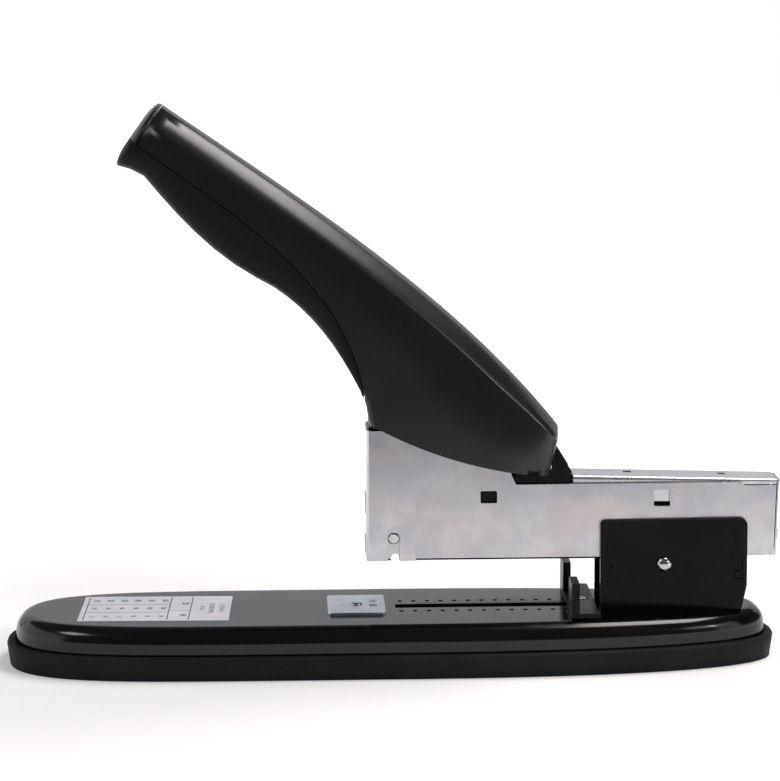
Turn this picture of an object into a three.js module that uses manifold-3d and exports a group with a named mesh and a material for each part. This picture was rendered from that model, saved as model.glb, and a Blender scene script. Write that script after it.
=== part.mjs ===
// Heavy-duty long-handle stapler, built as the assembly it is on the bench.
// Millimetres. +X runs from the grip end to the rear hinge, +Z is up, Y = 0 is the mid-plane.
// The origin is the middle of the underside of the base. The handle is up and the head is open.
import * as THREE from 'three';
import { mergeVertices } from 'three/addons/utils/BufferGeometryUtils.js';
import Module from 'manifold-3d';

const wasm = await Module();
wasm.setup();

// ---------------------------------------------------------------- driving dimensions
const clear = 0.3;                 // running and seating clearance between pieces

// base
const baseLength = 278.8;
const baseWidth = 75.2;
const trayHeight = 8.5;
const trayDraft = 1.0;
const trayLip = 3.1;
const trayLedge = 5.0;
const trayFloor = 2.0;
const coverInset = trayLip + clear;
const coverTop = 18.2;
const coverRound = 6.0;
const coverSheet = 1.2;
const outlinePoints = 72;

// head: widths across Y, as half widths
const railFloorHalf = 7.7;
const railWallOuter = 5.8;
const railWallInner = 4.8;
const channelOuter = 7.7;
const channelSheet = 0.8;
const frameInner = channelOuter + 0.4;
const frameSheet = 1.2;
const frameOuter = frameInner + frameSheet;
const coverFlangeInner = frameOuter + clear;
const coverFlangeSheet = 0.8;
const coverFlangeOuter = coverFlangeInner + coverFlangeSheet;
const bracketInner = 9.8;
const bracketSheet = 1.5;
const bracketOuter = bracketInner + bracketSheet;

// head: heights and lengths
const headFront = -7.8;
const frameRear = 127.6;
const frameBottom = 37.75;
const frameTop = 64.5;
const headNoseTop = 84.7;
const railBottom = 36.85;
const railSheet = 0.7;
const railFront = -6.9;
const railRear = 127.4;
const stapleLeg = 13.4;
const channelTop = 56.5;
const channelWallBottom = railBottom + railSheet + clear;
const channelRearBottom = 37.2;
const channelRearTop = 63.2;
const channelStep = 66.0;
const channelRear = 139.3;
const headRear = 140.8;
const capTopFront = 67.5;
const capTopRear = 65.3;

// hinges
const headPivot = { x: 98.4, z: 35.1 };
const headPinRadius = 2.0;
const headPinDome = 2.9;
const handlePivot = { x: 55.0, z: 71.0 };
const handlePinRadius = 2.0;

// driver
const driverBladeFront = -8.0;
const driverBladeSheet = 0.8;
const driverBladeHalf = 6.2;
const driverBladeBottom = 51.6;
const drivePin = { x: -1.2, radius: 1.5 };
const driveAngle = THREE.MathUtils.degToRad(12);
const drivePinZ = handlePivot.z + (handlePivot.x - drivePin.x) * Math.tan(driveAngle);

// handle: how far its far end lies from its hinge, along X and up
const handleReach = 137.0;
const handleRise = 129.4;
const handleWall = 2.2;
const gripHalf = 15.0;
const bodyHalf = 16.5;
const handleStations = 26;

// paper stop, anvil and scale slot
const slotStart = 1.5;
const slotEnd = 73.5;
const slotHalf = 2.9;
const stopFront = 63.9;
const stopLength = 10.0;
const stopHalf = 24.9;
const stopPlate = 1.8;
const stopScrewX = 69.2;
const anvil = { x: -12.7, length: 20.8, half: 14.5, sheet: 1.0, corner: 1.6 };
const stapleLineX = driverBladeFront + driverBladeSheet / 2 + 1.0;

// ---------------------------------------------------------------- solids and meshes

function toSolid(geometry) {
  const bare = geometry.index ? geometry.toNonIndexed() : geometry.clone();
  bare.deleteAttribute('normal');
  bare.deleteAttribute('uv');
  const merged = mergeVertices(bare, 1e-4);
  return new wasm.Manifold(new wasm.Mesh({
    numProp: 3,
    vertProperties: new Float32Array(merged.attributes.position.array),
    triVerts: new Uint32Array(merged.index.array),
  }));
}

function toGeometry(solid) {
  const mesh = solid.getMesh();
  const geometry = new THREE.BufferGeometry();
  geometry.setAttribute('position', new THREE.BufferAttribute(mesh.vertProperties, 3));
  geometry.setIndex(new THREE.BufferAttribute(mesh.triVerts, 1));
  geometry.computeVertexNormals();
  return geometry;
}

// Points closer together than this are made one, so no sliver is left where curved faces are cut.
const mergeWithin = 0.02;
const cut = (solid, ...tools) => tools.reduce((rest, tool) => rest.subtract(tool), solid);
const join = (first, ...others) => others.reduce((sum, part) => sum.add(part), first);

function outline(points) {
  const shape = new THREE.Shape();
  points.forEach(([x, y], i) => (i ? shape.lineTo(x, y) : shape.moveTo(x, y)));
  shape.closePath();
  return shape;
}

// A polygon whose corners are rounded: each point is [x, y] or [x, y, radius].
function roundedOutline(points) {
  const shape = new THREE.Shape();
  const count = points.length;
  for (let i = 0; i < count; i += 1) {
    const here = new THREE.Vector2(points[i][0], points[i][1]);
    const radius = points[i][2] ?? 0;
    const before = new THREE.Vector2(...points[(i + count - 1) % count].slice(0, 2));
    const after = new THREE.Vector2(...points[(i + 1) % count].slice(0, 2));
    const inward = before.clone().sub(here).normalize();
    const onward = after.clone().sub(here).normalize();
    const half = Math.acos(THREE.MathUtils.clamp(inward.dot(onward), -1, 1)) / 2;
    const reach = radius ? Math.min(radius / Math.tan(half), before.distanceTo(here) / 2.01,
      after.distanceTo(here) / 2.01) : 0;
    const start = here.clone().addScaledVector(inward, reach);
    const end = here.clone().addScaledVector(onward, reach);
    if (i === 0) shape.moveTo(start.x, start.y);
    else shape.lineTo(start.x, start.y);
    if (reach) shape.quadraticCurveTo(here.x, here.y, end.x, end.y);
  }
  shape.closePath();
  return shape;
}

// A polygon with every edge moved square to itself: positive shrinks a clockwise outline.
function grown(points, shift) {
  const count = points.length;
  return points.map((point, i) => {
    const here = new THREE.Vector2(...point);
    const before = new THREE.Vector2(...points[(i + count - 1) % count]);
    const after = new THREE.Vector2(...points[(i + 1) % count]);
    const enter = here.clone().sub(before).normalize();
    const leave = after.clone().sub(here).normalize();
    const mitre = new THREE.Vector2(enter.y + leave.y, -enter.x - leave.x).normalize();
    const reach = shift / mitre.dot(new THREE.Vector2(enter.y, -enter.x));
    return [here.x + mitre.x * reach, here.y + mitre.y * reach];
  });
}

function extrude(shape, depth, curveSegments = 5) {
  return new THREE.ExtrudeGeometry(shape, { depth, bevelEnabled: false, curveSegments });
}

// A side-view outline (x, z) given thickness between y0 and y1.
function slab(shape, y0, y1, curveSegments = 5) {
  const geometry = extrude(shape, y1 - y0, curveSegments);
  geometry.rotateX(Math.PI / 2);
  geometry.translate(0, y1, 0);
  return toSolid(geometry);
}

// A plan outline (x, y) given height between z0 and z1.
function deck(shape, z0, z1, curveSegments = 5) {
  const geometry = extrude(shape, z1 - z0, curveSegments);
  geometry.translate(0, 0, z0);
  return toSolid(geometry);
}

// A cross-section (y, z) run along X from x0 to x1.
function run(shape, x0, x1, curveSegments = 3) {
  const geometry = extrude(shape, x1 - x0, curveSegments);
  geometry.applyMatrix4(new THREE.Matrix4().set(0, 0, 1, x0, 1, 0, 0, 0, 0, 1, 0, 0, 0, 0, 0, 1));
  return toSolid(geometry);
}

function block(x0, x1, y0, y1, z0, z1) {
  const geometry = new THREE.BoxGeometry(x1 - x0, y1 - y0, z1 - z0);
  geometry.translate((x0 + x1) / 2, (y0 + y1) / 2, (z0 + z1) / 2);
  return toSolid(geometry);
}

function barY(radius, y0, y1, x, z, sides = 20) {
  const geometry = new THREE.CylinderGeometry(radius, radius, y1 - y0, sides);
  geometry.translate(x, (y0 + y1) / 2, z);
  return toSolid(geometry);
}

function postZ(radius, z0, z1, x, y, sides = 20) {
  const geometry = new THREE.CylinderGeometry(radius, radius, z1 - z0, sides);
  geometry.rotateX(Math.PI / 2);
  geometry.translate(x, y, (z0 + z1) / 2);
  return toSolid(geometry);
}

function rodX(radius, x0, x1, y, z, sides = 12) {
  const geometry = new THREE.CylinderGeometry(radius, radius, x1 - x0, sides);
  geometry.rotateZ(-Math.PI / 2);
  geometry.translate((x0 + x1) / 2, y, z);
  return toSolid(geometry);
}

// A turned piece about a vertical axis: profile points are [radius, z].
function turned(profile, x, y, sides = 20) {
  const geometry = new THREE.LatheGeometry(profile.map(([r, z]) => new THREE.Vector2(r, z)), sides);
  geometry.rotateX(Math.PI / 2);
  geometry.translate(x, y, 0);
  return toSolid(geometry);
}

// Rings of equal point count skinned into one closed body. Caps fan out from each end ring's middle.
function loft(rings) {
  const positions = [];
  const count = rings[0].length;
  const quad = (a, b, c, d) => positions.push(...a, ...b, ...c, ...a, ...c, ...d);
  for (let r = 0; r + 1 < rings.length; r += 1) {
    for (let i = 0; i < count; i += 1) {
      const j = (i + 1) % count;
      quad(rings[r][i], rings[r][j], rings[r + 1][j], rings[r + 1][i]);
    }
  }
  const middle = (ring) => [0, 1, 2].map((axis) => ring.reduce((s, p) => s + p[axis], 0) / count);
  const first = middle(rings[0]);
  const last = middle(rings[rings.length - 1]);
  for (let i = 0; i < count; i += 1) {
    const j = (i + 1) % count;
    positions.push(...first, ...rings[0][j], ...rings[0][i]);
    positions.push(...last, ...rings[rings.length - 1][i], ...rings[rings.length - 1][j]);
  }
  const geometry = new THREE.BufferGeometry();
  geometry.setAttribute('position', new THREE.Float32BufferAttribute(positions, 3));
  const merged = mergeVertices(geometry, 1e-4);
  return toSolid(merged);
}

class Helix extends THREE.Curve {
  constructor(radius, length, turns) {
    super();
    Object.assign(this, { radius, length: length, turns });
  }

  getPoint(t) {
    const angle = t * this.turns * Math.PI * 2;
    return new THREE.Vector3(Math.cos(angle) * this.radius, t * this.length, Math.sin(angle) * this.radius);
  }
}

// A round wire along a list of points, as a polygon section with the given number of sides.
function wire(curve, radius, steps, sides = 6) {
  const section = new THREE.Shape();
  for (let i = 0; i < sides; i += 1) {
    const angle = (i / sides) * Math.PI * 2;
    const point = [Math.cos(angle) * radius, Math.sin(angle) * radius];
    if (i) section.lineTo(...point);
    else section.moveTo(...point);
  }
  section.closePath();
  return toSolid(new THREE.ExtrudeGeometry(section, { extrudePath: curve, steps, bevelEnabled: false }));
}

// ---------------------------------------------------------------- finishes
const finish = (color, roughness, metalness) =>
  new THREE.MeshStandardMaterial({ color, roughness, metalness });
const finishes = {
  blackPaint: finish(0x101012, 0.22, 0.3),
  blackRubber: finish(0x1c1c1d, 0.75, 0.0),
  blackSteel: finish(0x121213, 0.4, 0.5),
  zinc: finish(0xb4b5ba, 0.35, 0.9),
  brightSteel: finish(0xc8c8ca, 0.2, 1.0),
  springSteel: finish(0x8e8f93, 0.3, 1.0),
  handlePlastic: finish(0x161617, 0.38, 0.0),
  gripPlastic: finish(0x1a1a1b, 0.6, 0.0),
};

const stapler = new THREE.Group();

// The head reaches a little past the base at the rear. The whole part is drawn back by half of that, so the
// middle of its length lies over the origin.
const overhang = headRear - baseLength / 2;

function add(name, solid, material) {
  const geometry = toGeometry(solid);
  geometry.translate(-overhang / 2, 0, 0);
  const mesh = new THREE.Mesh(geometry, material);
  mesh.name = name;
  stapler.add(mesh);
}

// ---------------------------------------------------------------- base outline
// The base is blunt at the grip end and drawn in towards the hinge end, so each half has its own
// pair of superellipse powers. Insets are taken square to the edge.
const frontPowers = { along: 6.0, across: 2.3 };
const rearPowers = { along: 2.5, across: 2.6 };

function basePoint(angle) {
  const along = Math.cos(angle);
  const powers = along < 0 ? frontPowers : rearPowers;
  const u = Math.sign(along) * Math.abs(along) ** (2 / powers.along);
  const v = (1 - Math.abs(u) ** powers.along) ** (1 / powers.across);
  return [u * baseLength / 2, Math.sign(Math.sin(angle)) * v * baseWidth / 2];
}

function baseRing(inset, z) {
  const ring = [];
  const step = (Math.PI * 2) / outlinePoints;
  for (let i = 0; i < outlinePoints; i += 1) {
    const angle = (i + 0.5) * step;
    const here = basePoint(angle);
    const before = basePoint(angle - step / 4);
    const after = basePoint(angle + step / 4);
    const dx = after[0] - before[0];
    const dy = after[1] - before[1];
    const size = Math.hypot(dx, dy);
    ring.push([here[0] - (dy / size) * inset, here[1] + (dx / size) * inset, z]);
  }
  return ring;
}

const baseBody = (levels) => loft(levels.map(([inset, z]) => baseRing(inset, z)));

// ---------------------------------------------------------------- base pieces
const bossX = baseLength / 2 - 31.4;
const bossY = baseWidth / 2 - 21.6;
const bossSpots = [[-bossX, bossY], [-bossX, -bossY], [bossX, bossY], [bossX, -bossY]];
const bossRadius = 3.4;
const baseScrewRadius = 1.3;
const bracketFloorTop = coverTop + bracketSheet;
const bracketRivetSpots = [[84, 6.5], [84, -6.5], [116, 6.5], [116, -6.5]];
const rivetHoleRadius = 1.9;
const rivetRadius = rivetHoleRadius - clear;

// The rubber tray the steel cover sits in, tapered in towards the table.
function rubberTray() {
  const outside = baseBody([[trayDraft, 0], [0, trayHeight - 1.2], [0.25, trayHeight - 0.4], [0.9, trayHeight]]);
  const rim = baseBody([[trayLip, trayLedge], [trayLip, trayHeight + 1]]);
  const well = baseBody([[trayLip + 4, trayFloor], [trayLip + 4, trayHeight + 1]]);
  const screwHoles = bossSpots.flatMap(([x, y]) => [
    postZ(baseScrewRadius + clear, -1, trayFloor + 1, x, y, 12),
    postZ(3.3, -1, 1.0, x, y, 16),
  ]);
  return cut(outside, rim, well, ...screwHoles);
}

// The pressed-steel cover: an open-bottomed shell with a rolled top edge.
function steelCover() {
  const levels = (wall, steps) => {
    const round = coverRound - wall;
    const rows = [[coverInset + wall, trayLedge + clear]];
    for (let i = 0; i <= steps; i += 1) {
      const angle = (i / steps) * (Math.PI / 2);
      const inset = coverInset + wall + round * (1 - Math.cos(angle));
      rows.push([inset, coverTop - wall - round * (1 - Math.sin(angle))]);
    }
    return rows;
  };
  const inside = levels(coverSheet, 3);
  inside[0][1] -= 1;
  const shell = cut(baseBody(levels(0, 6)), baseBody(inside));
  const bosses = bossSpots.map(([x, y]) =>
    postZ(bossRadius, trayFloor + clear, coverTop - coverSheet + 0.2, x, y, 16));
  const bossBores = bossSpots.map(([x, y]) =>
    postZ(baseScrewRadius + clear, 0, coverTop - coverSheet - 3, x, y, 12));
  const rivetHoles = bracketRivetSpots.map(([x, y]) => postZ(rivetHoleRadius, 10, coverTop + 1, x, y, 14));
  const slotCorner = 0.8;
  const slotPoints = [[slotStart, -slotHalf], [slotEnd, -slotHalf], [slotEnd, slotHalf], [slotStart, slotHalf]];
  const slot = deck(roundedOutline(slotPoints.map((point) => [...point, slotCorner])), 10, coverTop + 1, 3);
  const anvilHole = postZ(rivetHoleRadius, 10, coverTop + 1, anvil.x, 0, 14);
  return cut(join(shell, ...bosses), ...bossBores, ...rivetHoles, slot, anvilHole);
}

function baseScrew([x, y]) {
  return turned([[0, 0.25], [2.9, 0.25], [2.9, 0.7], [baseScrewRadius, 0.7],
    [baseScrewRadius, coverTop - coverSheet - 3 - clear], [0, coverTop - coverSheet - 3 - clear]], x, y, 14);
}

add('rubber_base_tray', rubberTray(), finishes.blackRubber);
add('steel_base_cover', steelCover(), finishes.blackPaint);
bossSpots.forEach((spot, i) => add(`base_screw_${i + 1}`, baseScrew(spot), finishes.zinc));

// ---------------------------------------------------------------- anvil
const anvilTop = coverTop + anvil.sheet;

function anvilPlate() {
  const x0 = anvil.x - anvil.length / 2;
  const x1 = anvil.x + anvil.length / 2;
  const corners = [[x0, -anvil.half], [x1, -anvil.half], [x1, anvil.half], [x0, anvil.half]];
  const plate = deck(roundedOutline(corners.map((c) => [...c, anvil.corner])), coverTop, anvilTop);
  const legSpread = 6.2;
  const pocketRadius = 7.0;
  const pocketDepth = 0.6;
  const pocketReach = 3.0;
  const pockets = [-1, 1].map((side) => rodX(pocketRadius, stapleLineX - 1.4, stapleLineX + 1.4,
    side * (legSpread - pocketReach), anvilTop + pocketRadius - pocketDepth, 40));
  return cut(plate, ...pockets, postZ(rivetHoleRadius, 10, 30, anvil.x, 0, 16));
}

function domedRivet(x, y, seatZ, bottomZ, headRadius, headHeight) {
  const under = bottomZ;
  return turned([[0, under], [headRadius * 0.9, under], [headRadius * 0.9, under + 0.9],
    [rivetRadius, under + 0.9], [rivetRadius, seatZ], [headRadius, seatZ],
    [headRadius * 0.82, seatZ + headHeight * 0.7], [headRadius * 0.45, seatZ + headHeight * 0.95],
    [0, seatZ + headHeight]], x, y, 16);
}

const coverUnderside = coverTop - coverSheet;
const rivetTail = coverUnderside - clear - 0.9;
add('anvil_plate', anvilPlate(), finishes.zinc);
add('anvil_rivet', domedRivet(anvil.x, 0, anvilTop, rivetTail, 2.5, 0.7), finishes.brightSteel);

// ---------------------------------------------------------------- hinge bracket on the base
const bracketFront = 75.3;
const bracketRear = 128.5;
const bracketTop = 51.6;

function hingeBracket() {
  const side = roundedOutline([[bracketFront, coverTop], [126.6, coverTop], [bracketRear, 27, 3],
    [bracketRear, bracketTop, 2.8], [bracketFront, bracketTop - 0.5, 2.2]]);
  const grooveMid = 123;
  const catchDepth = 0.9;
  const dimpleRadius = 0.9;
  const dimpleSpots = [[bracketFront + 3.8, 34.2], [grooveMid, 38.2]];
  const pinHole = barY(headPinRadius + clear, -20, 20, headPivot.x, headPivot.z, 24);
  const face = bracketOuter;
  const recesses = [-1, 1].flatMap((side) => {
    const near = side > 0 ? face - catchDepth : -face - 1;
    const far = side > 0 ? face + 1 : -face + catchDepth;
    const catchPocket = cut(block(123.6, 127.0, near, far, 29.2, 36.3),
      block(124.2, 126.4, near - 1, far + 1, 29.8, 32.2));
    const dimples = dimpleSpots.map(([x, z]) => {
      const ball = new THREE.SphereGeometry(dimpleRadius, 10, 8);
      ball.translate(x, side * (face + dimpleRadius * 0.5), z);
      return toSolid(ball);
    });
    return [catchPocket, ...dimples];
  });
  const floor = block(bracketFront + 3.2, 124, -bracketInner - 0.2, bracketInner + 0.2, coverTop, bracketFloorTop);
  const wall = (y0, y1, outer) => {
    const groove = block(grooveMid - 1.4, grooveMid + 1.4, Math.min(outer, outer * 0.975),
      Math.max(outer, outer * 0.975), 39.6, 48);
    return cut(slab(side, y0, y1), groove);
  };
  const near = wall(-bracketOuter, -bracketInner, -bracketOuter);
  const far = wall(bracketInner, bracketOuter, bracketOuter);
  const bolts = bracketRivetSpots.map(([x, y]) => postZ(rivetHoleRadius, 10, 30, x, y, 14));
  return cut(join(near, far, floor), pinHole, ...recesses, ...bolts);
}

// A hinge pin across Y with a domed head at each end.
function domedPin(shank, dome, domeHeight, seat, x, z) {
  const half = [[0, 0], [shank, 0], [shank, seat], [dome, seat], [dome * 0.86, seat + domeHeight * 0.6],
    [dome * 0.5, seat + domeHeight * 0.92], [0, seat + domeHeight]];
  const turn = (profile) => new THREE.LatheGeometry(profile.map(([r, h]) => new THREE.Vector2(r, h)), 20);
  const right = turn(half);
  right.translate(x, 0, z);
  const left = turn(half);
  left.rotateX(Math.PI);
  left.translate(x, 0, z);
  return join(toSolid(right), toSolid(left));
}

add('hinge_bracket', hingeBracket(), finishes.blackPaint);
bracketRivetSpots.forEach(([x, y], i) => {
  add(`bracket_rivet_${i + 1}`, domedRivet(x, y, bracketFloorTop, rivetTail, 2.4, 0.9), finishes.blackSteel);
});
add('head_hinge_pin', domedPin(headPinRadius, headPinDome, 1.8, bracketOuter + 0.1, headPivot.x, headPivot.z),
  finishes.brightSteel);

const sleeveOuter = 3.2;
add('hinge_sleeve', cut(barY(sleeveOuter, -frameInner + clear, frameInner - clear, headPivot.x, headPivot.z, 24),
  barY(headPinRadius + clear, -20, 20, headPivot.x, headPivot.z, 24)), finishes.brightSteel);

// A torsion spring: a close coil across Y whose two legs leave square to the coil.
function torsionSpring(pivot, coilRadius, wireRadius, halfWidth, turns, startLeg, endLeg) {
  const points = [];
  const stepsPerTurn = 10;
  const steps = Math.round(turns * stepsPerTurn);
  const startAngle = startLeg.angle;
  for (let i = 0; i <= steps; i += 1) {
    const angle = startAngle + (i / stepsPerTurn) * Math.PI * 2;
    const y = THREE.MathUtils.lerp(-halfWidth, halfWidth, i / steps);
    points.push(new THREE.Vector3(pivot.x + Math.cos(angle) * coilRadius, y, pivot.z + Math.sin(angle) * coilRadius));
  }
  const start = points[0];
  const finishPoint = points[points.length - 1];
  const legA = new THREE.Vector3(start.x + startLeg.dx, start.y, start.z + startLeg.dz);
  const legB = new THREE.Vector3(finishPoint.x + endLeg.dx, finishPoint.y, finishPoint.z + endLeg.dz);
  const all = [legA, ...points, legB];
  return wire(new THREE.CatmullRomCurve3(all, false, 'catmullrom', 0.2), wireRadius, all.length + 8, 6);
}

const headSpringWire = 0.65;
add('head_return_spring', torsionSpring(headPivot, sleeveOuter + clear + headSpringWire, headSpringWire, 3.8, 5.5,
  { angle: -Math.PI / 2, dx: -14, dz: -9.2 }, { dx: -14.4, dz: -6.1 }), finishes.springSteel);

// ---------------------------------------------------------------- paper stop
const stopBottom = coverTop + clear;
const stopTop = stopBottom + stopPlate;
const postInner = 11.9;
const postTop = 31.1;
const stopScrewRadius = 1.6;
const stopHeadRadius = 2.6;
const stopHeadSeat = 1.0;
const postSheet = 2.8;

function paperStop() {
  const plate = deck(roundedOutline([[stopFront, -stopHalf], [stopFront + stopLength, -stopHalf, 1.5],
    [stopFront + stopLength, stopHalf, 1.5], [stopFront, stopHalf]]), stopBottom, stopTop);
  const posts = [-1, 1].map((side) => block(stopFront, stopFront + postSheet,
    Math.min(side * postInner, side * stopHalf), Math.max(side * postInner, side * stopHalf),
    stopBottom, postTop));
  return cut(join(plate, ...posts), postZ(stopScrewRadius + clear, 0, 40, stopScrewX, 0, 16),
    postZ(stopHeadRadius + clear, stopTop - stopHeadSeat, 40, stopScrewX, 0, 20));
}

const nutTop = coverUnderside - clear;
const nutHeight = 2.6;
add('paper_stop', paperStop(), finishes.blackSteel);
const stopSeat = stopTop - stopHeadSeat + 0.05;
add('paper_stop_screw', cut(turned([[0, nutTop - nutHeight - 0.6], [stopScrewRadius, nutTop - nutHeight - 0.6],
  [stopScrewRadius, stopSeat], [stopHeadRadius, stopSeat], [stopHeadRadius, stopTop - 0.05],
  [stopHeadRadius * 0.8, stopTop + 0.2], [0, stopTop + 0.3]], stopScrewX, 0, 20),
block(stopScrewX - 4, stopScrewX + 4, -0.35, 0.35, stopTop - 0.25, stopTop + 3)), finishes.brightSteel);
add('paper_stop_nut', cut(block(stopScrewX - 4.2, stopScrewX + 4.2, -4.2, 4.2, nutTop - nutHeight, nutTop),
  postZ(stopScrewRadius + clear, 0, 40, stopScrewX, 0, 16)), finishes.zinc);

// ---------------------------------------------------------------- head frame
const window1 = [32.1, 38.1, 57.8, 62.2];
const window2 = [94.7, 100.6, 56.0, 62.1];
const lugBottom = 30.6;
const frameNoseTop = headNoseTop - 0.3;
const notchX = 1.4;
const notchRadius = 1.55;
const coverStud = { x: 0.8, z: 45.3, radius: 1.85 };

// The round notch that lets the pin of the nose cover be reached goes right through the head.
const notchTop = frameBottom + 0.4;
const notch = join(barY(notchRadius, -20, 20, notchX, notchTop, 16),
  block(notchX - notchRadius, notchX + notchRadius, -20, 20, railBottom - 1, notchTop));

function framePlate(y0, y1) {
  const side = roundedOutline([[headFront, frameBottom], [89, frameBottom], [93, lugBottom, 3],
    [103.8, lugBottom, 3], [107.8, frameBottom], [frameRear, frameBottom], [frameRear, frameTop, 2.2],
    [44.9, frameTop], [43.2, 68.3], [43.2, 71.6], [24, 78.2], [8, 82.2], [-2, frameNoseTop],
    [headFront, frameNoseTop]]);
  const openings = [window1, window2].map(([x0, x1, z0, z1]) =>
    slab(roundedOutline([[x0, z0, 0.6], [x1, z0, 0.6], [x1, z1, 0.6], [x0, z1, 0.6]]), y0 - 1, y1 + 1));
  return cut(slab(side, y0, y1), ...openings, notch,
    barY(headPinRadius + clear, y0 - 1, y1 + 1, headPivot.x, headPivot.z, 24),
    barY(coverStud.radius + clear, y0 - 1, y1 + 1, coverStud.x, coverStud.z, 20));
}

add('left_frame_plate', framePlate(-frameOuter, -frameInner), finishes.zinc);
add('right_frame_plate', framePlate(frameInner, frameOuter), finishes.zinc);

// The nose cover: one sheet folded round the front of the frame, with a flange down each side.
const noseFront = headFront - 1.2;
const noseBottom = 37.2;
const noseWallTop = headNoseTop + 0.2;
function noseCover() {
  const flange = roundedOutline([[noseFront, noseBottom], [8.7, noseBottom], [8.7, 58.2, 3], [9.6, 63.1, 2],
    [22.3, 63.1], [22.3, 77.4], [8, 82.0], [-2, headNoseTop], [noseFront, headNoseTop]]);
  const fold = [[noseFront, -coverFlangeOuter, 1.6], [30, -coverFlangeOuter], [30, -coverFlangeInner],
    [noseFront + coverFlangeSheet, -coverFlangeInner, 0.8], [noseFront + coverFlangeSheet, coverFlangeInner, 0.8],
    [30, coverFlangeInner], [30, coverFlangeOuter], [noseFront, coverFlangeOuter, 1.6]];
  const sheet = deck(roundedOutline(fold), noseBottom, noseWallTop);
  const keepSides = slab(flange, -20, 20);
  const keepFront = block(noseFront - 1, noseFront + 1.5, -20, 20, noseBottom, noseWallTop);
  const reach = coverStud.radius + clear;
  const slot = roundedOutline([[coverStud.x - reach, 30], [coverStud.x + reach, 30],
    [coverStud.x + reach, coverStud.z + reach, reach], [coverStud.x - reach, coverStud.z + reach, reach]]);
  const ribs = [[53.5, 60.5], [39.0, 44.5]].map(([z0, z1]) =>
    block(noseFront - 0.35, noseFront + 0.2, -4.2, 4.2, z0, z1));
  const folded = sheet.intersect(join(keepSides, keepFront));
  return join(cut(folded, slab(slot, -20, 20)), ...ribs);
}

add('nose_cover', noseCover(), finishes.zinc);
add('cover_stud_left', barY(coverStud.radius, -coverFlangeOuter - 0.1, -frameInner - 0.05, coverStud.x, coverStud.z),
  finishes.brightSteel);
add('cover_stud_right', barY(coverStud.radius, frameInner + 0.05, coverFlangeOuter + 0.1, coverStud.x, coverStud.z),
  finishes.brightSteel);

// ---------------------------------------------------------------- staple rail and magazine channel
const railTop = railBottom + railSheet + stapleLeg;
const railFloorTop = railBottom + railSheet;

// The space that the rail and the channel leave for the hinge sleeve.
const sleeveReach = sleeveOuter + clear;
const sleeveGap = block(headPivot.x - sleeveReach - 0.2, headPivot.x + sleeveReach + 0.2, -20, 20, 30,
  headPivot.z + sleeveReach);

function stapleRail() {
  const section = outline([[-railFloorHalf, railBottom], [railFloorHalf, railBottom],
    [railFloorHalf, railFloorTop], [railWallOuter, railFloorTop], [railWallOuter, railTop],
    [railWallInner, railTop], [railWallInner, railFloorTop], [-railWallInner, railFloorTop],
    [-railWallInner, railTop], [-railWallOuter, railTop], [-railWallOuter, railFloorTop],
    [-railFloorHalf, railFloorTop]]);
  const springWindow = block(headPivot.x - 12.8, headPivot.x + 5.2, -railWallInner, railWallInner, 30,
    railFloorTop);
  return cut(run(section, railFront, railRear), springWindow, sleeveGap, notch);
}

const tabStart = 92.0;
const tabEnd = 103.0;
const tabBottom = 57.6;
function magazineChannel() {
  const inner = channelOuter - channelSheet;
  const wall = outline([[railFront, channelWallBottom], [railRear + clear, channelWallBottom],
    [railRear + clear, channelRearBottom], [channelRear - 0.9, channelRearBottom],
    [channelRear, channelRearTop], [tabEnd + 0.5, channelRearTop], [tabEnd + 0.5, tabBottom - 1.6],
    [tabStart - 0.5, tabBottom - 1.6], [tabStart - 0.5, channelRearTop], [channelStep, channelRearTop],
    [channelStep, channelTop], [railFront, channelTop]]);
  const roof = block(railFront, channelStep, -channelOuter, channelOuter, channelTop - channelSheet, channelTop);
  return cut(join(slab(wall, -channelOuter, -inner), slab(wall, inner, channelOuter), roof), sleeveGap, notch);
}

// The long cap that closes the rear of the magazine, lower at its rear end, with two locating tabs.
function magazineCap() {
  const capFront = 65.7;
  const capBottom = channelRearTop + clear;
  const capSheet = 0.9;
  const ring = (x, top, half, z0, round) => {
    const shape = roundedOutline([[-half, z0], [half, z0], [half, top, round], [-half, top, round]]);
    return shape.getPoints(3).map((p) => [x, p.x, p.y]);
  };
  const outer = loft([ring(capFront, capTopFront, channelOuter, capBottom, 1.6),
    ring(channelRear, capTopRear, channelOuter, capBottom, 1.6)]);
  const innerHalf = channelOuter - capSheet;
  const inner = loft([ring(capFront - 1, capTopFront - capSheet, innerHalf, capBottom - 1, 0.9),
    ring(channelRear + 1, capTopRear - capSheet, innerHalf, capBottom - 1, 0.9)]);
  const tabs = [-1, 1].map((side) => block(tabStart, tabEnd, Math.min(side * innerHalf, side * channelOuter),
    Math.max(side * innerHalf, side * channelOuter), tabBottom, capBottom + 0.3));
  const vents = [[84.5, 87.5], [119.0, 121.7]].map(([x0, x1]) => block(x0, x1, 0, 3, 60, 70));
  return cut(join(cut(outer, inner), ...tabs), ...vents);
}

add('staple_rail', stapleRail(), finishes.blackSteel);
add('magazine_channel', magazineChannel(), finishes.zinc);
add('magazine_cap', magazineCap(), finishes.zinc);

// ---------------------------------------------------------------- handle bracket on the head
const earOuter = channelOuter + 0.1;
const earInner = earOuter - 1.2;
const earFloor = 64.7;
function handleBracket() {
  const ear = outline([[29.5, channelTop + clear], [64.3, channelTop + clear], [64.3, earFloor], [65.1, 68.9],
    [59.9, 77.4], [53.4, 77.4], [47.6, 70.2], [44.2, 67.3], [44.2, 63.6], [29.5, 63.6]]);
  const floor = block(45.0, 64.3, -earOuter, earOuter, earFloor, earFloor + 1.2);
  const pinHole = barY(handlePinRadius + clear, -20, 20, handlePivot.x, handlePivot.z, 24);
  return cut(join(slab(ear, -earOuter, -earInner), slab(ear, earInner, earOuter), floor), pinHole);
}

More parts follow.
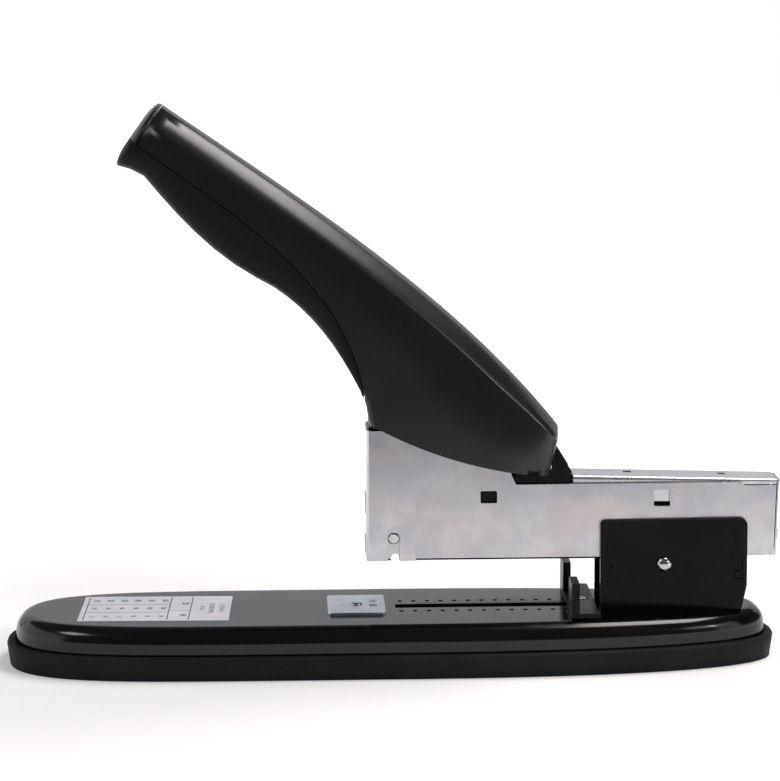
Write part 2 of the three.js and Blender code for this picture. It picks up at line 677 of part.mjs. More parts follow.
add('handle_bracket', handleBracket(), finishes.blackSteel);
add('handle_hinge_pin', domedPin(handlePinRadius, 3.2, 1.2, earOuter + 0.1, handlePivot.x, handlePivot.z),
  finishes.brightSteel);
const handleSpringWire = 0.5;
add('handle_return_spring', torsionSpring(handlePivot, handlePinRadius + clear + handleSpringWire + 0.2,
  handleSpringWire, 4.0, 6.5, { angle: -Math.PI / 2, dx: -7, dz: -0.6 }, { dx: -7, dz: 1.8 }),
finishes.springSteel);

// ---------------------------------------------------------------- driver
const carrierHalf = 4.6;
const forkHalf = 2.8;
const driverTop = drivePinZ + 4.0;
add('driver_blade', block(driverBladeFront, driverBladeFront + driverBladeSheet, -driverBladeHalf,
  driverBladeHalf, driverBladeBottom, driverTop), finishes.brightSteel);

function driverCarrier() {
  const front = driverBladeFront + driverBladeSheet + clear;
  const body = slab(roundedOutline([[front, drivePinZ - 4.0], [drivePin.x + 2.8, drivePinZ - 4.0, 1.5],
    [drivePin.x + 2.8, driverTop, 1.5], [front, driverTop]]), -carrierHalf, carrierHalf);
  const fork = block(front + 0.7, 20, -forkHalf, forkHalf, drivePinZ - 10, drivePinZ + 10);
  return cut(body, fork, barY(drivePin.radius + clear, -20, 20, drivePin.x, drivePinZ, 16));
}

add('driver_carrier', driverCarrier(), finishes.blackSteel);
add('driver_pin', barY(drivePin.radius, -carrierHalf - 0.2, carrierHalf + 0.2, drivePin.x, drivePinZ, 16),
  finishes.brightSteel);

// ---------------------------------------------------------------- handle curves
// Every point of the handle is given as a share of its reach (forward of the hinge) and of its rise.
const vec = (x, z) => new THREE.Vector2(x, z);
const spot = (forward, up) => vec(handlePivot.x - forward * handleReach, handlePivot.z + up * handleRise);
const spots = (pairs) => pairs.map(([forward, up]) => spot(forward, up));
const cubic = (pairs) => new THREE.CubicBezierCurve(...spots(pairs));
const topLine = cubic([[0.9985, 1.0075], [0.6486, 0.7505], [0.2347, 0.4705], [-0.0405, 0.1015]]);
const gripLine = cubic([[1.0465, 0.8261], [0.9536, 0.7045], [0.8538, 0.5828], [0.7181, 0.5155]]);
const throatLine = cubic([[0.7181, 0.5155], [0.6105, 0.4443], [0.5322, 0.334], [0.4693, 0.1901]]);
const bellyLine = cubic([[0.4693, 0.1901], [0.4599, 0.085], [0.4307, -0.0696], [0.0029, -0.085]]);
const partingLine = cubic([[1.0723, 0.9215], [0.8317, 0.7251], [0.5189, 0.5497], [0.4715, 0.2055]]);
const hemLine = cubic([[0.4328, 0.1159], [0.3139, 0.0502], [0.1679, -0.0062], [-0.0073, -0.0193]]);
const gripEnd = spot(1.108, 0.8447);
const lipShare = 0.07;
const gripShare = 0.32;
const throatShare = 0.66;

function underLine(v) {
  if (v < lipShare) return gripEnd.clone().lerp(gripLine.getPoint(0), v / lipShare);
  if (v < gripShare) return gripLine.getPoint((v - lipShare) / (gripShare - lipShare));
  if (v < throatShare) return throatLine.getPoint((v - gripShare) / (throatShare - gripShare));
  return bellyLine.getPoint((v - throatShare) / (1 - throatShare));
}

// One closed ring of the handle at station v, drawn in by the given inset. Its half outline runs from the
// crown over a bevel and a ridge, down the side and round the lower corner to the underside.
const bevelRun = 7.5;
const ridgeDrops = { grip: 6.8, middle: 5.4, rear: 3.2 };
const noTrim = { wide: 0, tall: 0, ahead: 0 };

function ridgeDropAt(v) {
  const { smoothstep, lerp } = THREE.MathUtils;
  const towardsMiddle = lerp(ridgeDrops.grip, ridgeDrops.middle, smoothstep(v, 0.15, 0.5));
  return lerp(towardsMiddle, ridgeDrops.rear, smoothstep(v, 0.82, 1));
}

function handleRing(v, inset, trim) {
  const bottom = underLine(v);
  const top = topLine.getPoint(v);
  const up = top.clone().sub(bottom).normalize();
  const forward = vec(-up.y, up.x).multiplyScalar(trim.ahead);
  const high = top.clone().addScaledVector(up, -inset - trim.tall).add(forward);
  const low = bottom.clone().addScaledVector(up, inset + trim.tall).add(forward);
  const height = high.distanceTo(low);
  const fullHalf = THREE.MathUtils.lerp(gripHalf, bodyHalf, THREE.MathUtils.smoothstep(v, 0.1, 0.6));
  const half = fullHalf - inset - trim.wide;
  const ridgeDrop = ridgeDropAt(v);
  const ridge = THREE.MathUtils.lerp(1, 0.45, THREE.MathUtils.smoothstep(v, 0.3, 0.7));
  const bulge = THREE.MathUtils.lerp(1.1, 0.2, THREE.MathUtils.smoothstep(v, 0.05, 0.45));
  const square = THREE.MathUtils.smoothstep(v, 0.45, 0.62);
  const cornerRise = THREE.MathUtils.lerp(8, 3, square);
  const cornerRun = THREE.MathUtils.lerp(6.5, 2.6, square);
  const side = [[0, height + 0.5], [half - bevelRun - 0.9, height + 0.12], [half - bevelRun + 0.7, height - 0.5],
    [half - bevelRun / 2 + bulge * 0.7, height - ridgeDrop / 2 + bulge * 0.7],
    [half - 0.8 * ridge, height - ridgeDrop + 0.75 * ridge], [half - 0.05, height - ridgeDrop - ridge],
    [half, (height + cornerRise) / 2 - 3], [half - 0.3, cornerRise], [half - cornerRun * 0.13, cornerRise * 0.6],
    [half - cornerRun * 0.4, cornerRise * 0.24], [half - cornerRun, 0.3], [0, 0]];
  const left = side.map(([y, u]) => [-y, u]);
  const right = side.slice(1, -1).reverse();
  return [...left, ...right].map(([y, u]) => {
    const point = low.clone().addScaledVector(up, u);
    return [point.x, y, point.y];
  });
}

const rearFrom = 0.965;
const rearRound = 5.4;
const endDome = 1.4;
const cavityFrom = 0.045;
const cavityTo = 0.984;

// The whole outside of the handle, with rounded edges at both ends.
function handleForm() {
  const rings = [[1, 6], [0.8, 3.8], [0.45, 1.8], [0.15, 0.6]].map(([share, drawn]) =>
    handleRing(0, 0, { wide: drawn, tall: drawn * 0.9, ahead: endDome * share }));
  for (let i = 0; i <= handleStations; i += 1) {
    rings.push(handleRing(THREE.MathUtils.lerp(0.004, rearFrom, i / handleStations), 0, noTrim));
  }
  [30, 52, 72, 90].forEach((degrees) => {
    const turn = THREE.MathUtils.degToRad(degrees);
    const wide = rearRound * (1 - Math.cos(turn));
    rings.push(handleRing(THREE.MathUtils.lerp(rearFrom, 1, Math.sin(turn)), 0, { wide, tall: 0, ahead: 0 }));
  });
  return loft(rings);
}

// The hollow inside it, smaller than the outside by the inset all round.
function handleCavity(inset) {
  const rings = [];
  const count = Math.round(handleStations * 0.7);
  for (let i = 0; i <= count; i += 1) {
    const wide = i === count ? rearRound * 0.5 : 0;
    rings.push(handleRing(THREE.MathUtils.lerp(cavityFrom, cavityTo, i / count), inset,
      { wide, tall: 0, ahead: 0 }));
  }
  return loft(rings);
}

const curveOutline = (curve, steps, closing) =>
  outline([...curve.getPoints(steps).map((point) => [point.x, point.y]), ...closing]);

// Everything above and in front of the seam of the end cap, moved back along X by the given shift.
function beyondSeam(shift) {
  const seam = spots([[0.9876, 1.0278], [0.9876, 1.0062], [1.0701, 0.881], [1.1095, 0.8114]]);
  const [start, , , end] = seam;
  const far = end.x - 20;
  return slab(outline([...seam.map((point) => [point.x + shift, point.y]), [far, end.y], [far, start.y]]),
    -40, 40);
}

// Everything on the grip side of the parting line, moved square to the line by the given shift. The line is
// carried on straight past the end of the handle.
function belowParting(shift) {
  const steps = 18;
  const beyond = 8;
  const moved = partingLine.getPoints(steps).map((point, i) => {
    const along = partingLine.getTangent(i / steps);
    return [point.x - along.y * shift, point.y + along.x * shift];
  });
  const way = partingLine.getTangent(0);
  moved.unshift([moved[0][0] - way.x * beyond, moved[0][1] - way.y * beyond]);
  const last = moved[moved.length - 1];
  return slab(outline([...moved, [last[0] - 0.2, handlePivot.z + 19], [last[0] - 50, handlePivot.z + 19],
    [moved[0][0] - 28, handlePivot.z + 79], [moved[0][0] - 28, moved[0][1]]]), -40, 40);
}

const form = handleForm();
const cavity = handleCavity(handleWall);
const hemFront = hemLine.getPoint(0);
const hemRear = hemLine.getPoint(1);
const belowHem = slab(curveOutline(hemLine, 14, [[80, hemRear.y], [80, 30], [-40, 30], [-40, hemFront.y + 5],
  [hemFront.x - 4.9, hemFront.y + 5], [hemFront.x - 3.2, hemFront.y + 1.2]]), -40, 40);
const nosePassage = block(-20, 0, -coverFlangeOuter - 1.4, coverFlangeOuter + 1.4, 70, handlePivot.z + 30.5);
const hingePassage = slab(roundedOutline([[44, 60], [75, 60], [75, handlePivot.z + 8],
  [44, handlePivot.z + 8, 3]]), -10.2, 10.2);

// The pressed-steel lever inside the handle: two walls and a web on top. Each outline point is a place and the
// radius of its corner, counted from the hinge.
const leverWallOuter = 6.2;
const leverWallInner = 5.0;
const leverOutline = [[0.0255, -0.0317, 3], [0.3854, 0.051, 0], [0.3854, 0.2009, 4], [0.4599, 0.3555, 6],
  [0.5985, 0.4907, 6], [0.8248, 0.6569, 3], [0.7774, 0.7148, 3], [0.2993, 0.3091, 6], [0.0365, 0.1082, 6],
  [-0.0307, 0.0201, 3]].map(([forward, up, radius]) => {
  const point = spot(forward, up);
  return [point.x, point.y, radius];
});

function handleLever() {
  const arm = roundedOutline(leverOutline);
  const wallOuter = leverWallOuter;
  const wallInner = leverWallInner;
  const walls = [slab(arm, -wallOuter, -wallInner), slab(arm, wallInner, wallOuter)];
  const webTop = leverOutline.slice(5, 9).map(([x, z]) => [x, z]);
  const webSheet = 1.8;
  const webUnder = grown(webTop, webSheet).reverse();
  webUnder[0] = [webTop[3][0] - webSheet, webTop[3][1] - webSheet];
  webUnder[3] = [webTop[0][0] + webSheet, webTop[0][1] - webSheet * 0.4];
  const web = slab(outline([...webTop, ...webUnder]), -wallOuter, wallOuter);
  const along = vec(-Math.cos(driveAngle), Math.sin(driveAngle));
  const across = vec(Math.sin(driveAngle), Math.cos(driveAngle));
  const at = (s, n) => [handlePivot.x + along.x * s + across.x * n, handlePivot.z + along.y * s + across.y * n];
  const tongue = slab(roundedOutline([[...at(24, -3.2)], [...at(61, -3.2), 2.4], [...at(61, 3.2), 2.4],
    [...at(24, 3.2)]]), -2.4, 2.4);
  const crossBlock = slab(outline([at(26, -3.2), at(38, -3.2), at(38, 3.2), at(26, 3.2)]), -wallInner - 0.2,
    wallInner + 0.2);
  const pinReach = (handlePivot.x - drivePin.x) / Math.cos(driveAngle);
  const slotRadius = drivePin.radius + clear;
  const slotFrom = handlePivot.x - drivePin.x - 0.5;
  const slot = slab(outline([at(slotFrom, -slotRadius), at(pinReach + 0.2, -slotRadius),
    at(pinReach + 0.2, slotRadius), at(slotFrom, slotRadius)]), -5, 5);
  const slotEnds = [slotFrom, pinReach + 0.2].map((s) => barY(slotRadius, -5, 5, ...at(s, 0), 16));
  return cut(join(...walls, web, tongue, crossBlock), slot, ...slotEnds,
    barY(handlePinRadius + clear, -20, 20, handlePivot.x, handlePivot.z, 24));
}

// A cross rib that fills the handle from side to side at station v, before it is trimmed.
function handleRib(v, thickness) {
  const bottom = underLine(v);
  const top = topLine.getPoint(v);
  const up = top.clone().sub(bottom).normalize();
  const across = vec(up.y, -up.x);
  const corner = (base, s) => [base.x + across.x * s, base.y + across.y * s];
  const box = outline([corner(bottom, -thickness), corner(bottom, thickness), corner(top, thickness),
    corner(top, -thickness)]);
  return slab(box, -bodyHalf, bodyHalf);
}

// A round bar in the mid-plane between two side-view points, such as a screw boss.
function strut(radius, from, to, sides = 14) {
  const length = from.distanceTo(to);
  const geometry = new THREE.CylinderGeometry(radius, radius, length, sides);
  const along = new THREE.Vector3(to.x - from.x, 0, to.y - from.y).normalize();
  geometry.applyQuaternion(new THREE.Quaternion().setFromUnitVectors(new THREE.Vector3(0, 1, 0), along));
  geometry.translate((from.x + to.x) / 2, 0, (from.y + to.y) / 2);
  return toSolid(geometry);
}

// The ribs keep clear of the lever all round by the seating clearance.
const leverKeepOut = slab(outline(grown(leverOutline.map(([x, z]) => [x, z]), -clear)),
  -leverWallOuter - clear, leverWallOuter + clear);
const ribStations = [0.36, 0.5, 0.64];
const ribHalfSheet = 1.1;
const ribs = ribStations.map((v) => cut(handleRib(v, ribHalfSheet).intersect(form), leverKeepOut));
const hollow = cut(form, cavity);
const ribbed = join(hollow, ...ribs);

// Two screws go up through the grip into bosses that hang from the top of the shell.
const gripScrewStations = [0.115, 0.205];
const gripScrewRadius = 1.4;
const gripScrewHead = 2.7;
const padHeight = 5.2;
const headDepth = 2.9;
const screwAxes = gripScrewStations.map((v) => {
  const low = underLine(v);
  const top = topLine.getPoint(v);
  const up = top.clone().sub(low).normalize();
  return { low, top, at: (height) => low.clone().addScaledVector(up, height) };
});
const pads = screwAxes.map(({ at }) => strut(4.4, at(1), at(padHeight)));
const headBores = screwAxes.map(({ at }) => strut(gripScrewHead + clear, at(-3), at(headDepth)));
const shankBores = screwAxes.map(({ at }) => strut(gripScrewRadius + clear, at(0), at(padHeight + 9)));
const bosses = screwAxes.map(({ at, top, low }) =>
  strut(3.4, at(padHeight + clear), at(top.distanceTo(low) - handleWall + 0.3)));

// Near the throat a lip of the shell stands behind the parting line, so the joint stays closed to the eye.
const lipFrom = 0.72;
const lipReach = 1.7;
const lipRoot = 2.4;
function partingBand(from, to, y0, y1) {
  const steps = 8;
  const along = Array.from({ length: steps + 1 }, (_, i) => THREE.MathUtils.lerp(lipFrom, 0.975, i / steps));
  const edge = (shift) => along.map((t) => {
    const point = partingLine.getPoint(t);
    const way = partingLine.getTangent(t);
    return [point.x - way.y * shift, point.y + way.x * shift];
  });
  return slab(outline([...edge(from), ...edge(to).reverse()]), y0, y1);
}
const lipInner = bodyHalf - handleWall - clear - 1.5;
const lipSpace = handleCavity(handleWall + clear);
const lips = [-1, 1].map((side) => {
  const span = [side * lipInner, side * bodyHalf].sort((a, b) => a - b);
  return join(partingBand(-lipReach, lipRoot, ...span).intersect(lipSpace),
    partingBand(clear * 2, lipRoot, ...span).intersect(form));
});

const lipRoom = [-1, 1].map((side) => {
  const span = [side * (lipInner - clear), side * bodyHalf].sort((a, b) => a - b);
  return partingBand(-lipReach - clear, 0, ...span).intersect(cavity);
});

const shellCut = cut(ribbed, belowHem, belowParting(clear / 2), beyondSeam(clear), nosePassage, hingePassage);
const shellSolid = cut(join(shellCut, ...lips, ...bosses), ...shankBores);
const gripCut = cut(ribbed, nosePassage, belowHem).intersect(belowParting(-clear / 2));
const gripSolid = cut(join(gripCut, ...pads), ...headBores, ...shankBores, ...lipRoom);
const capSolid = cut(hollow.intersect(beyondSeam(0)), belowParting(clear / 2));

function gripScrew({ at }) {
  const slotWidth = 0.35;
  const screw = join(strut(gripScrewHead, at(headDepth - 1.5), at(headDepth - 0.1), 16),
    strut(gripScrewRadius, at(headDepth - 0.5), at(padHeight + 8.5), 12));
  const driveSlot = block(at(0).x - 8, at(0).x + 8, -slotWidth, slotWidth, at(0).y - 8, at(headDepth - 0.9).y);
  return cut(screw, driveSlot);
}

add('handle_shell', shellSolid.simplify(mergeWithin), finishes.handlePlastic);
add('handle_grip', gripSolid.simplify(mergeWithin), finishes.gripPlastic);
add('handle_end_cap', capSolid.simplify(mergeWithin), finishes.handlePlastic);
add('handle_lever', handleLever(), finishes.blackSteel);
screwAxes.forEach((axis, i) => add(`grip_screw_${i + 1}`, gripScrew(axis), finishes.zinc));

// ---------------------------------------------------------------- pusher that feeds the staples
const rodRadius = 1.5;
const rodZ = 44.2;
const rodFront = railFront + 0.9;
const rodHead = { radius: 2.4, length: 1.4 };
const plateFront = channelRear + clear + 0.1;
const plateLean = 0.9;
const plateSheet = 0.6;
const tailHead = { radius: 2.6, front: plateFront + plateSheet - 0.35, rear: headRear };
add('pusher_rod', join(rodX(rodRadius, rodFront, tailHead.rear - 0.2, 0, rodZ, 12),
  rodX(rodHead.radius, rodFront, rodFront + rodHead.length, 0, rodZ, 14),
  rodX(tailHead.radius, tailHead.front, tailHead.rear, 0, rodZ, 14)), finishes.brightSteel);

function endPlate() {
  const lean = plateLean;
  const sheet = slab(outline([[plateFront - lean, channelRearBottom], [plateFront - lean + plateSheet, channelRearBottom],
    [plateFront + plateSheet, capTopRear - 1.4], [plateFront + plateSheet + 0.5, capTopRear - 0.5],
    [plateFront, capTopRear - 0.5]]), -channelOuter + 0.3, channelOuter - 0.3);
  return cut(sheet, rodX(rodRadius + clear, 130, 150, 0, rodZ, 16));
}
add('magazine_end_plate', endPlate(), finishes.zinc);

const followerLength = 15.0;
function follower() {
  const head = block(railFront + 0.2, railFront + 0.2 + followerLength, -6.4, 6.4, railTop + clear,
    channelTop - channelSheet - clear);
  const stemBottom = headPivot.z + sleeveOuter + 2 * (clear + headSpringWire) + clear;
  const stem = block(railFront + 0.2, railFront + 0.2 + followerLength, -railWallInner + 0.4,
    railWallInner - 0.4, stemBottom, railTop + clear + 0.2);
  const bore = rodX(rodRadius + clear, -30, 30, 0, rodZ, 14);
  const counterbore = rodX(rodHead.radius + clear, -30, rodFront + rodHead.length + clear, 0, rodZ, 16);
  return cut(join(head, stem), bore, counterbore);
}
add('staple_follower', follower(), finishes.blackSteel);

const springStart = railFront + 0.2 + followerLength + clear + 0.3;
const springEnd = plateFront - 1.6;
const feedSpringRadius = 2.9;
const feedSpringWire = 0.35;
const feedCoil = wire(new Helix(feedSpringRadius, springEnd - springStart, 20), feedSpringWire, 160, 4);
add('feed_spring', feedCoil.transform([0, -1, 0, 0, 1, 0, 0, 0, 0, 0, 1, 0, springStart, 0, rodZ, 1]),
  finishes.springSteel);

export default stapler;
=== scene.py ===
"""Looks of the long-handled heavy-duty stapler: finishes, softened edges, printed label and scale, light and camera."""

import logging
import math
from dataclasses import dataclass
from enum import Enum

import bmesh
import bpy
import numpy as np
from mathutils import Matrix, Vector


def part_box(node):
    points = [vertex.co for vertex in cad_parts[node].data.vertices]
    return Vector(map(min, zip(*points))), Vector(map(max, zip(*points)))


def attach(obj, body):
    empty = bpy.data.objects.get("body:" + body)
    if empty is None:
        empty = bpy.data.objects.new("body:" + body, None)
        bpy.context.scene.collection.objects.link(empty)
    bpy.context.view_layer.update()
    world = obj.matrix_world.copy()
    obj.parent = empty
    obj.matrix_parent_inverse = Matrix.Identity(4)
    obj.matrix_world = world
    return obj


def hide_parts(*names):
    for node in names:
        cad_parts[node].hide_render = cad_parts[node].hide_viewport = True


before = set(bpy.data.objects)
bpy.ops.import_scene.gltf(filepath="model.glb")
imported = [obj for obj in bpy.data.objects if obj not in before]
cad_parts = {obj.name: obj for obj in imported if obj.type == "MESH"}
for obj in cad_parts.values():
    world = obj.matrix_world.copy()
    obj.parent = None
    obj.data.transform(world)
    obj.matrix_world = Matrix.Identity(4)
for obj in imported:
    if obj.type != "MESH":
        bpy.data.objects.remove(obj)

log = logging.getLogger("stapler")
MM = 0.001
SPECK_SIZE = 0.9  # of a speck of dust, in millimetres
SPECK_LIFT = 0.02  # what a speck adds to three times the colour under it
MERGE_REACH = 2e-6  # points of a carried-over mesh nearer than this are one, in metres
Triple = tuple[float, float, float]


class Body(Enum):
    """The rigid groups that the pieces ride on."""

    BASE = "base"
    STOP = "stop"
    HEAD = "head"
    DRIVER = "driver"
    HANDLE = "handle"
    PUSHER = "pusher"
    FOLLOWER = "follower"


class Grain(Enum):
    """How the fine relief of a finish is laid out: (stretch along X, Y and Z, octaves of noise)."""

    PEEL = ((1.0, 1.0, 1.0), 1.0)
    PEBBLE = ((1.0, 1.0, 1.0), 3.0)
    ROLLED = ((0.04, 1.0, 1.0), 3.0)
    PLAIN = ((1.0, 1.0, 1.0), 0.0)


# ---------------------------------------------------------------- materials


@dataclass(frozen=True)
class Finish:
    """One surface finish, built as a node material on Object coordinates.

    Args:
        name: material name.
        slot: the record's material slot that the finish belongs to; not used.
        color: main colour, linear RGB.
        tint: second colour that clouds drift towards, linear RGB.
        metallic: 0 for paint and plastic, 1 for bare metal.
        roughness: mean roughness.
        spread: how far the roughness wanders either way.
        grain: layout of the fine relief.
        grain_size: size of one grain in millimetres.
        relief: bump distance in millimetres.
        cloud_size: size of the colour clouds in millimetres.
        specular: strength of the mirror part on paint and plastic; 0.5 is ordinary.
        blush: third colour, seen in other patches than the tint, or None.
        dust: share of pale specks, 0 for none.
    """

    name: str
    slot: str
    color: Triple
    tint: Triple
    metallic: float = 0.0
    roughness: float = 0.4
    spread: float = 0.05
    grain: Grain = Grain.PEBBLE
    grain_size: float = 0.4
    relief: float = 0.01
    cloud_size: float = 30.0
    specular: float = 0.5
    blush: Triple | None = None
    dust: float = 0.0

    def build(self) -> bpy.types.Material:
        """Makes the material, or returns it if it is there already.

        Returns:
            The finished material.
        """
        found = bpy.data.materials.get(self.name)
        if found:
            return found
        material = bpy.data.materials.new(self.name)
        material.use_nodes = True
        tree = material.node_tree
        shader = tree.nodes["Principled BSDF"]
        shader.inputs["Metallic"].default_value = self.metallic
        shader.inputs["Specular IOR Level"].default_value = self.specular
        place = tree.nodes.new("ShaderNodeTexCoord")
        clouds = self._noise(tree, place, self.cloud_size, 1.5)
        color = self._mix(tree, self.color, self.tint, self._ramp(tree, clouds, 0.38, 0.66, 0.0, 1.0))
        if self.blush:
            patches = self._noise(tree, place, self.cloud_size * 1.6, 1.5, (1.0, 0.6, 1.4))
            color = self._mix(tree, color, self.blush, self._ramp(tree, patches, 0.5, 0.68, 0.0, 1.0))
        if self.dust:
            specks = self._noise(tree, place, SPECK_SIZE, 2.0)
            pale = tuple(min(1.0, channel * 3 + SPECK_LIFT) for channel in self.color)
            color = self._mix(tree, color, pale, self._ramp(tree, specks, 0.72, 0.8, 0.0, self.dust))
        tree.links.new(color, shader.inputs["Base Color"])
        smudge = self._noise(tree, place, self.cloud_size * 0.45, 2.0)
        rough = self._ramp(tree, smudge, 0.3, 0.72, self.roughness - self.spread, self.roughness + self.spread)
        tree.links.new(rough, shader.inputs["Roughness"])
        self._relief(tree, place, shader)
        return material

    def _mix(self, tree: bpy.types.NodeTree, first: bpy.types.NodeSocket | Triple, second: Triple,
             share: bpy.types.NodeSocket) -> bpy.types.NodeSocket:
        """Blends from the first colour to the second by the share.

        Args:
            tree: the material's node tree.
            first: a linear RGB colour, or the socket that gives it.
            second: the colour at a share of 1, linear RGB.
            share: socket of the blend, 0 to 1.

        Returns:
            The socket of the blended colour.
        """
        blend = tree.nodes.new("ShaderNodeMix")
        blend.data_type = "RGBA"
        if isinstance(first, tuple):
            blend.inputs["A"].default_value = (*first, 1.0)
        else:
            tree.links.new(first, blend.inputs["A"])
        blend.inputs["B"].default_value = (*second, 1.0)
        tree.links.new(share, blend.inputs["Factor"])
        return blend.outputs["Result"]

    def _noise(self, tree: bpy.types.NodeTree, place: bpy.types.Node, size: float, detail: float,
               stretch: Triple = (1.0, 1.0, 1.0)) -> bpy.types.NodeSocket:
        """Fractal noise on Object coordinates.

        Args:
            tree: the material's node tree.
            place: the texture coordinate node.
            size: size of one patch in millimetres.
            detail: octaves.
            stretch: scale along X, Y and Z; below 1 draws the pattern out.

        Returns:
            The socket of the noise, 0 to 1.
        """
        mapping = tree.nodes.new("ShaderNodeMapping")
        mapping.inputs["Scale"].default_value = stretch
        tree.links.new(place.outputs["Object"], mapping.inputs["Vector"])
        noise = tree.nodes.new("ShaderNodeTexNoise")
        noise.inputs["Scale"].default_value = 1.0 / (size * MM)
        noise.inputs["Detail"].default_value = detail
        tree.links.new(mapping.outputs["Vector"], noise.inputs["Vector"])
        return noise.outputs["Fac"]

    def _ramp(self, tree: bpy.types.NodeTree, source: bpy.types.NodeSocket, low: float, high: float,
              out_low: float, out_high: float) -> bpy.types.NodeSocket:
        """Maps low..high of a value to out_low..out_high, clamped and smoothed.

        Args:
            tree: the material's node tree.
            source: socket of the value.
            low: value that gives out_low.
            high: value that gives out_high.
            out_low: lower end of the result.
            out_high: upper end of the result.

        Returns:
            The socket of the result.
        """
        span = tree.nodes.new("ShaderNodeMapRange")
        span.interpolation_type = "SMOOTHSTEP"
        span.inputs["From Min"].default_value = low
        span.inputs["From Max"].default_value = high
        span.inputs["To Min"].default_value = out_low
        span.inputs["To Max"].default_value = out_high
        tree.links.new(source, span.inputs["Value"])
        return span.outputs["Result"]

    def _relief(self, tree: bpy.types.NodeTree, place: bpy.types.Node, shader: bpy.types.Node) -> None:
        """Adds the grain as a bump: peel is soft waves, pebble is fine grain, rolled runs along X.

        Args:
            tree: the material's node tree.
            place: the texture coordinate node.
            shader: the shader that takes the bump.
        """
        if self.grain is Grain.PLAIN:
            return
        stretch, octaves = self.grain.value
        height = self._noise(tree, place, self.grain_size, octaves, stretch)
        bump = tree.nodes.new("ShaderNodeBump")
        bump.inputs["Strength"].default_value = 1.0
        bump.inputs["Distance"].default_value = self.relief * MM
        tree.links.new(height, bump.inputs["Height"])
        tree.links.new(bump.outputs["Normal"], shader.inputs["Normal"])


GLOSS_PAINT = Finish("gloss_black_paint", "base_paint", (0.0014, 0.0014, 0.0018), (0.0021, 0.0021, 0.0026),
                     roughness=0.14, spread=0.03, grain=Grain.PEEL, grain_size=2.2, relief=0.002,
                     cloud_size=60, specular=0.42)
BRACKET_PAINT = Finish("gloss_black_bracket", "black_steel", (0.0024, 0.0024, 0.0029), (0.0034, 0.0034, 0.004),
                       roughness=0.2, spread=0.03, grain=Grain.PEEL, grain_size=1.6, relief=0.002,
                       cloud_size=40, specular=0.12)
BASE_RUBBER = Finish("black_tray_rubber", "base_rubber", (0.014, 0.0141, 0.0139), (0.0175, 0.0175, 0.017),
                     roughness=0.6, spread=0.05, grain_size=0.35, relief=0.015, cloud_size=25, specular=0.1)
SATIN_STEEL = Finish("satin_black_steel", "black_steel", (0.0045, 0.0046, 0.0052), (0.006, 0.006, 0.0068),
                     roughness=0.36, spread=0.05, grain_size=0.5, relief=0.006, cloud_size=30, specular=0.15)
ZINC = Finish("zinc_plated_steel", "zinc_plate", (0.61, 0.605, 0.635), (0.54, 0.535, 0.585), metallic=1.0,
              roughness=0.3, spread=0.04, grain=Grain.ROLLED, grain_size=0.3, relief=0.001, cloud_size=17,
              blush=(0.64, 0.595, 0.595))
# Same zinc plate as ZINC, set brighter: the lighter colour is painted highlight, standing in for the bright band along
# the cap's rounded edge.
CAP_ZINC_PAINTED_HIGHLIGHT = Finish("zinc_cap_painted_highlight", "zinc_plate", (0.80, 0.80, 0.82), (0.74, 0.74, 0.78), metallic=1.0,
                  roughness=0.3, spread=0.03, grain=Grain.ROLLED, grain_size=0.3, relief=0.001, cloud_size=17)
COVER_ZINC = Finish("zinc_plated_cover", "zinc_plate", (0.615, 0.615, 0.65), (0.555, 0.555, 0.60), metallic=1.0,
                    roughness=0.28, spread=0.04, grain=Grain.ROLLED, grain_size=0.3, relief=0.001, cloud_size=14,
                    blush=(0.64, 0.60, 0.60))
ANVIL_PLATE = Finish("brushed_anvil_plate", "zinc_plate", (0.74, 0.80, 0.90), (0.66, 0.71, 0.82), metallic=1.0,
                     roughness=0.34, spread=0.05, grain_size=0.25, relief=0.003, cloud_size=9)
BRIGHT = Finish("polished_steel", "bright_steel", (0.56, 0.55, 0.55), (0.5, 0.49, 0.49), metallic=1.0,
                roughness=0.14, spread=0.04, grain_size=0.3, relief=0.002, cloud_size=4)
SPRING = Finish("drawn_spring_wire", "spring_steel", (0.42, 0.42, 0.44), (0.34, 0.34, 0.36), metallic=1.0,
                roughness=0.28, spread=0.06, grain_size=0.2, relief=0.004, cloud_size=5)
SHELL_PLASTIC = Finish("satin_handle_plastic", "handle_plastic", (0.0036, 0.0036, 0.004), (0.0048, 0.0048, 0.0054),
                       roughness=0.3, spread=0.02, grain_size=0.28, relief=0.005, cloud_size=50, specular=0.55,
                       dust=0.15)
GRIP_PLASTIC = Finish("matt_grip_plastic", "grip_plastic", (0.0088, 0.0086, 0.0088), (0.0105, 0.0102, 0.0105),
                      roughness=0.5, spread=0.04, grain_size=0.45, relief=0.012, cloud_size=40, specular=0.12)
LABEL_FOIL = Finish("pale_label_foil", "zinc_plate", (0.80, 0.80, 0.88), (0.76, 0.76, 0.84),
                    roughness=0.45, spread=0.04, grain_size=0.3, relief=0.002, cloud_size=20, specular=0.3)
LABEL_INK = Finish("grey_label_ink", "black_steel", (0.20, 0.20, 0.24), (0.24, 0.24, 0.28),
                   roughness=0.55, spread=0.03, grain=Grain.PLAIN, cloud_size=4, specular=0.2)
DARK_INK = Finish("dark_label_ink", "black_steel", (0.075, 0.075, 0.09), (0.09, 0.09, 0.105),
                  roughness=0.55, spread=0.03, grain=Grain.PLAIN, cloud_size=4, specular=0.2)
SCALE_INK = Finish("stamped_scale_marks", "base_paint", (0.0015, 0.0015, 0.0015), (0.002, 0.002, 0.002),
                   roughness=0.8, spread=0.05, grain=Grain.PLAIN, cloud_size=4, specular=0.02)


# ---------------------------------------------------------------- shared shape helpers


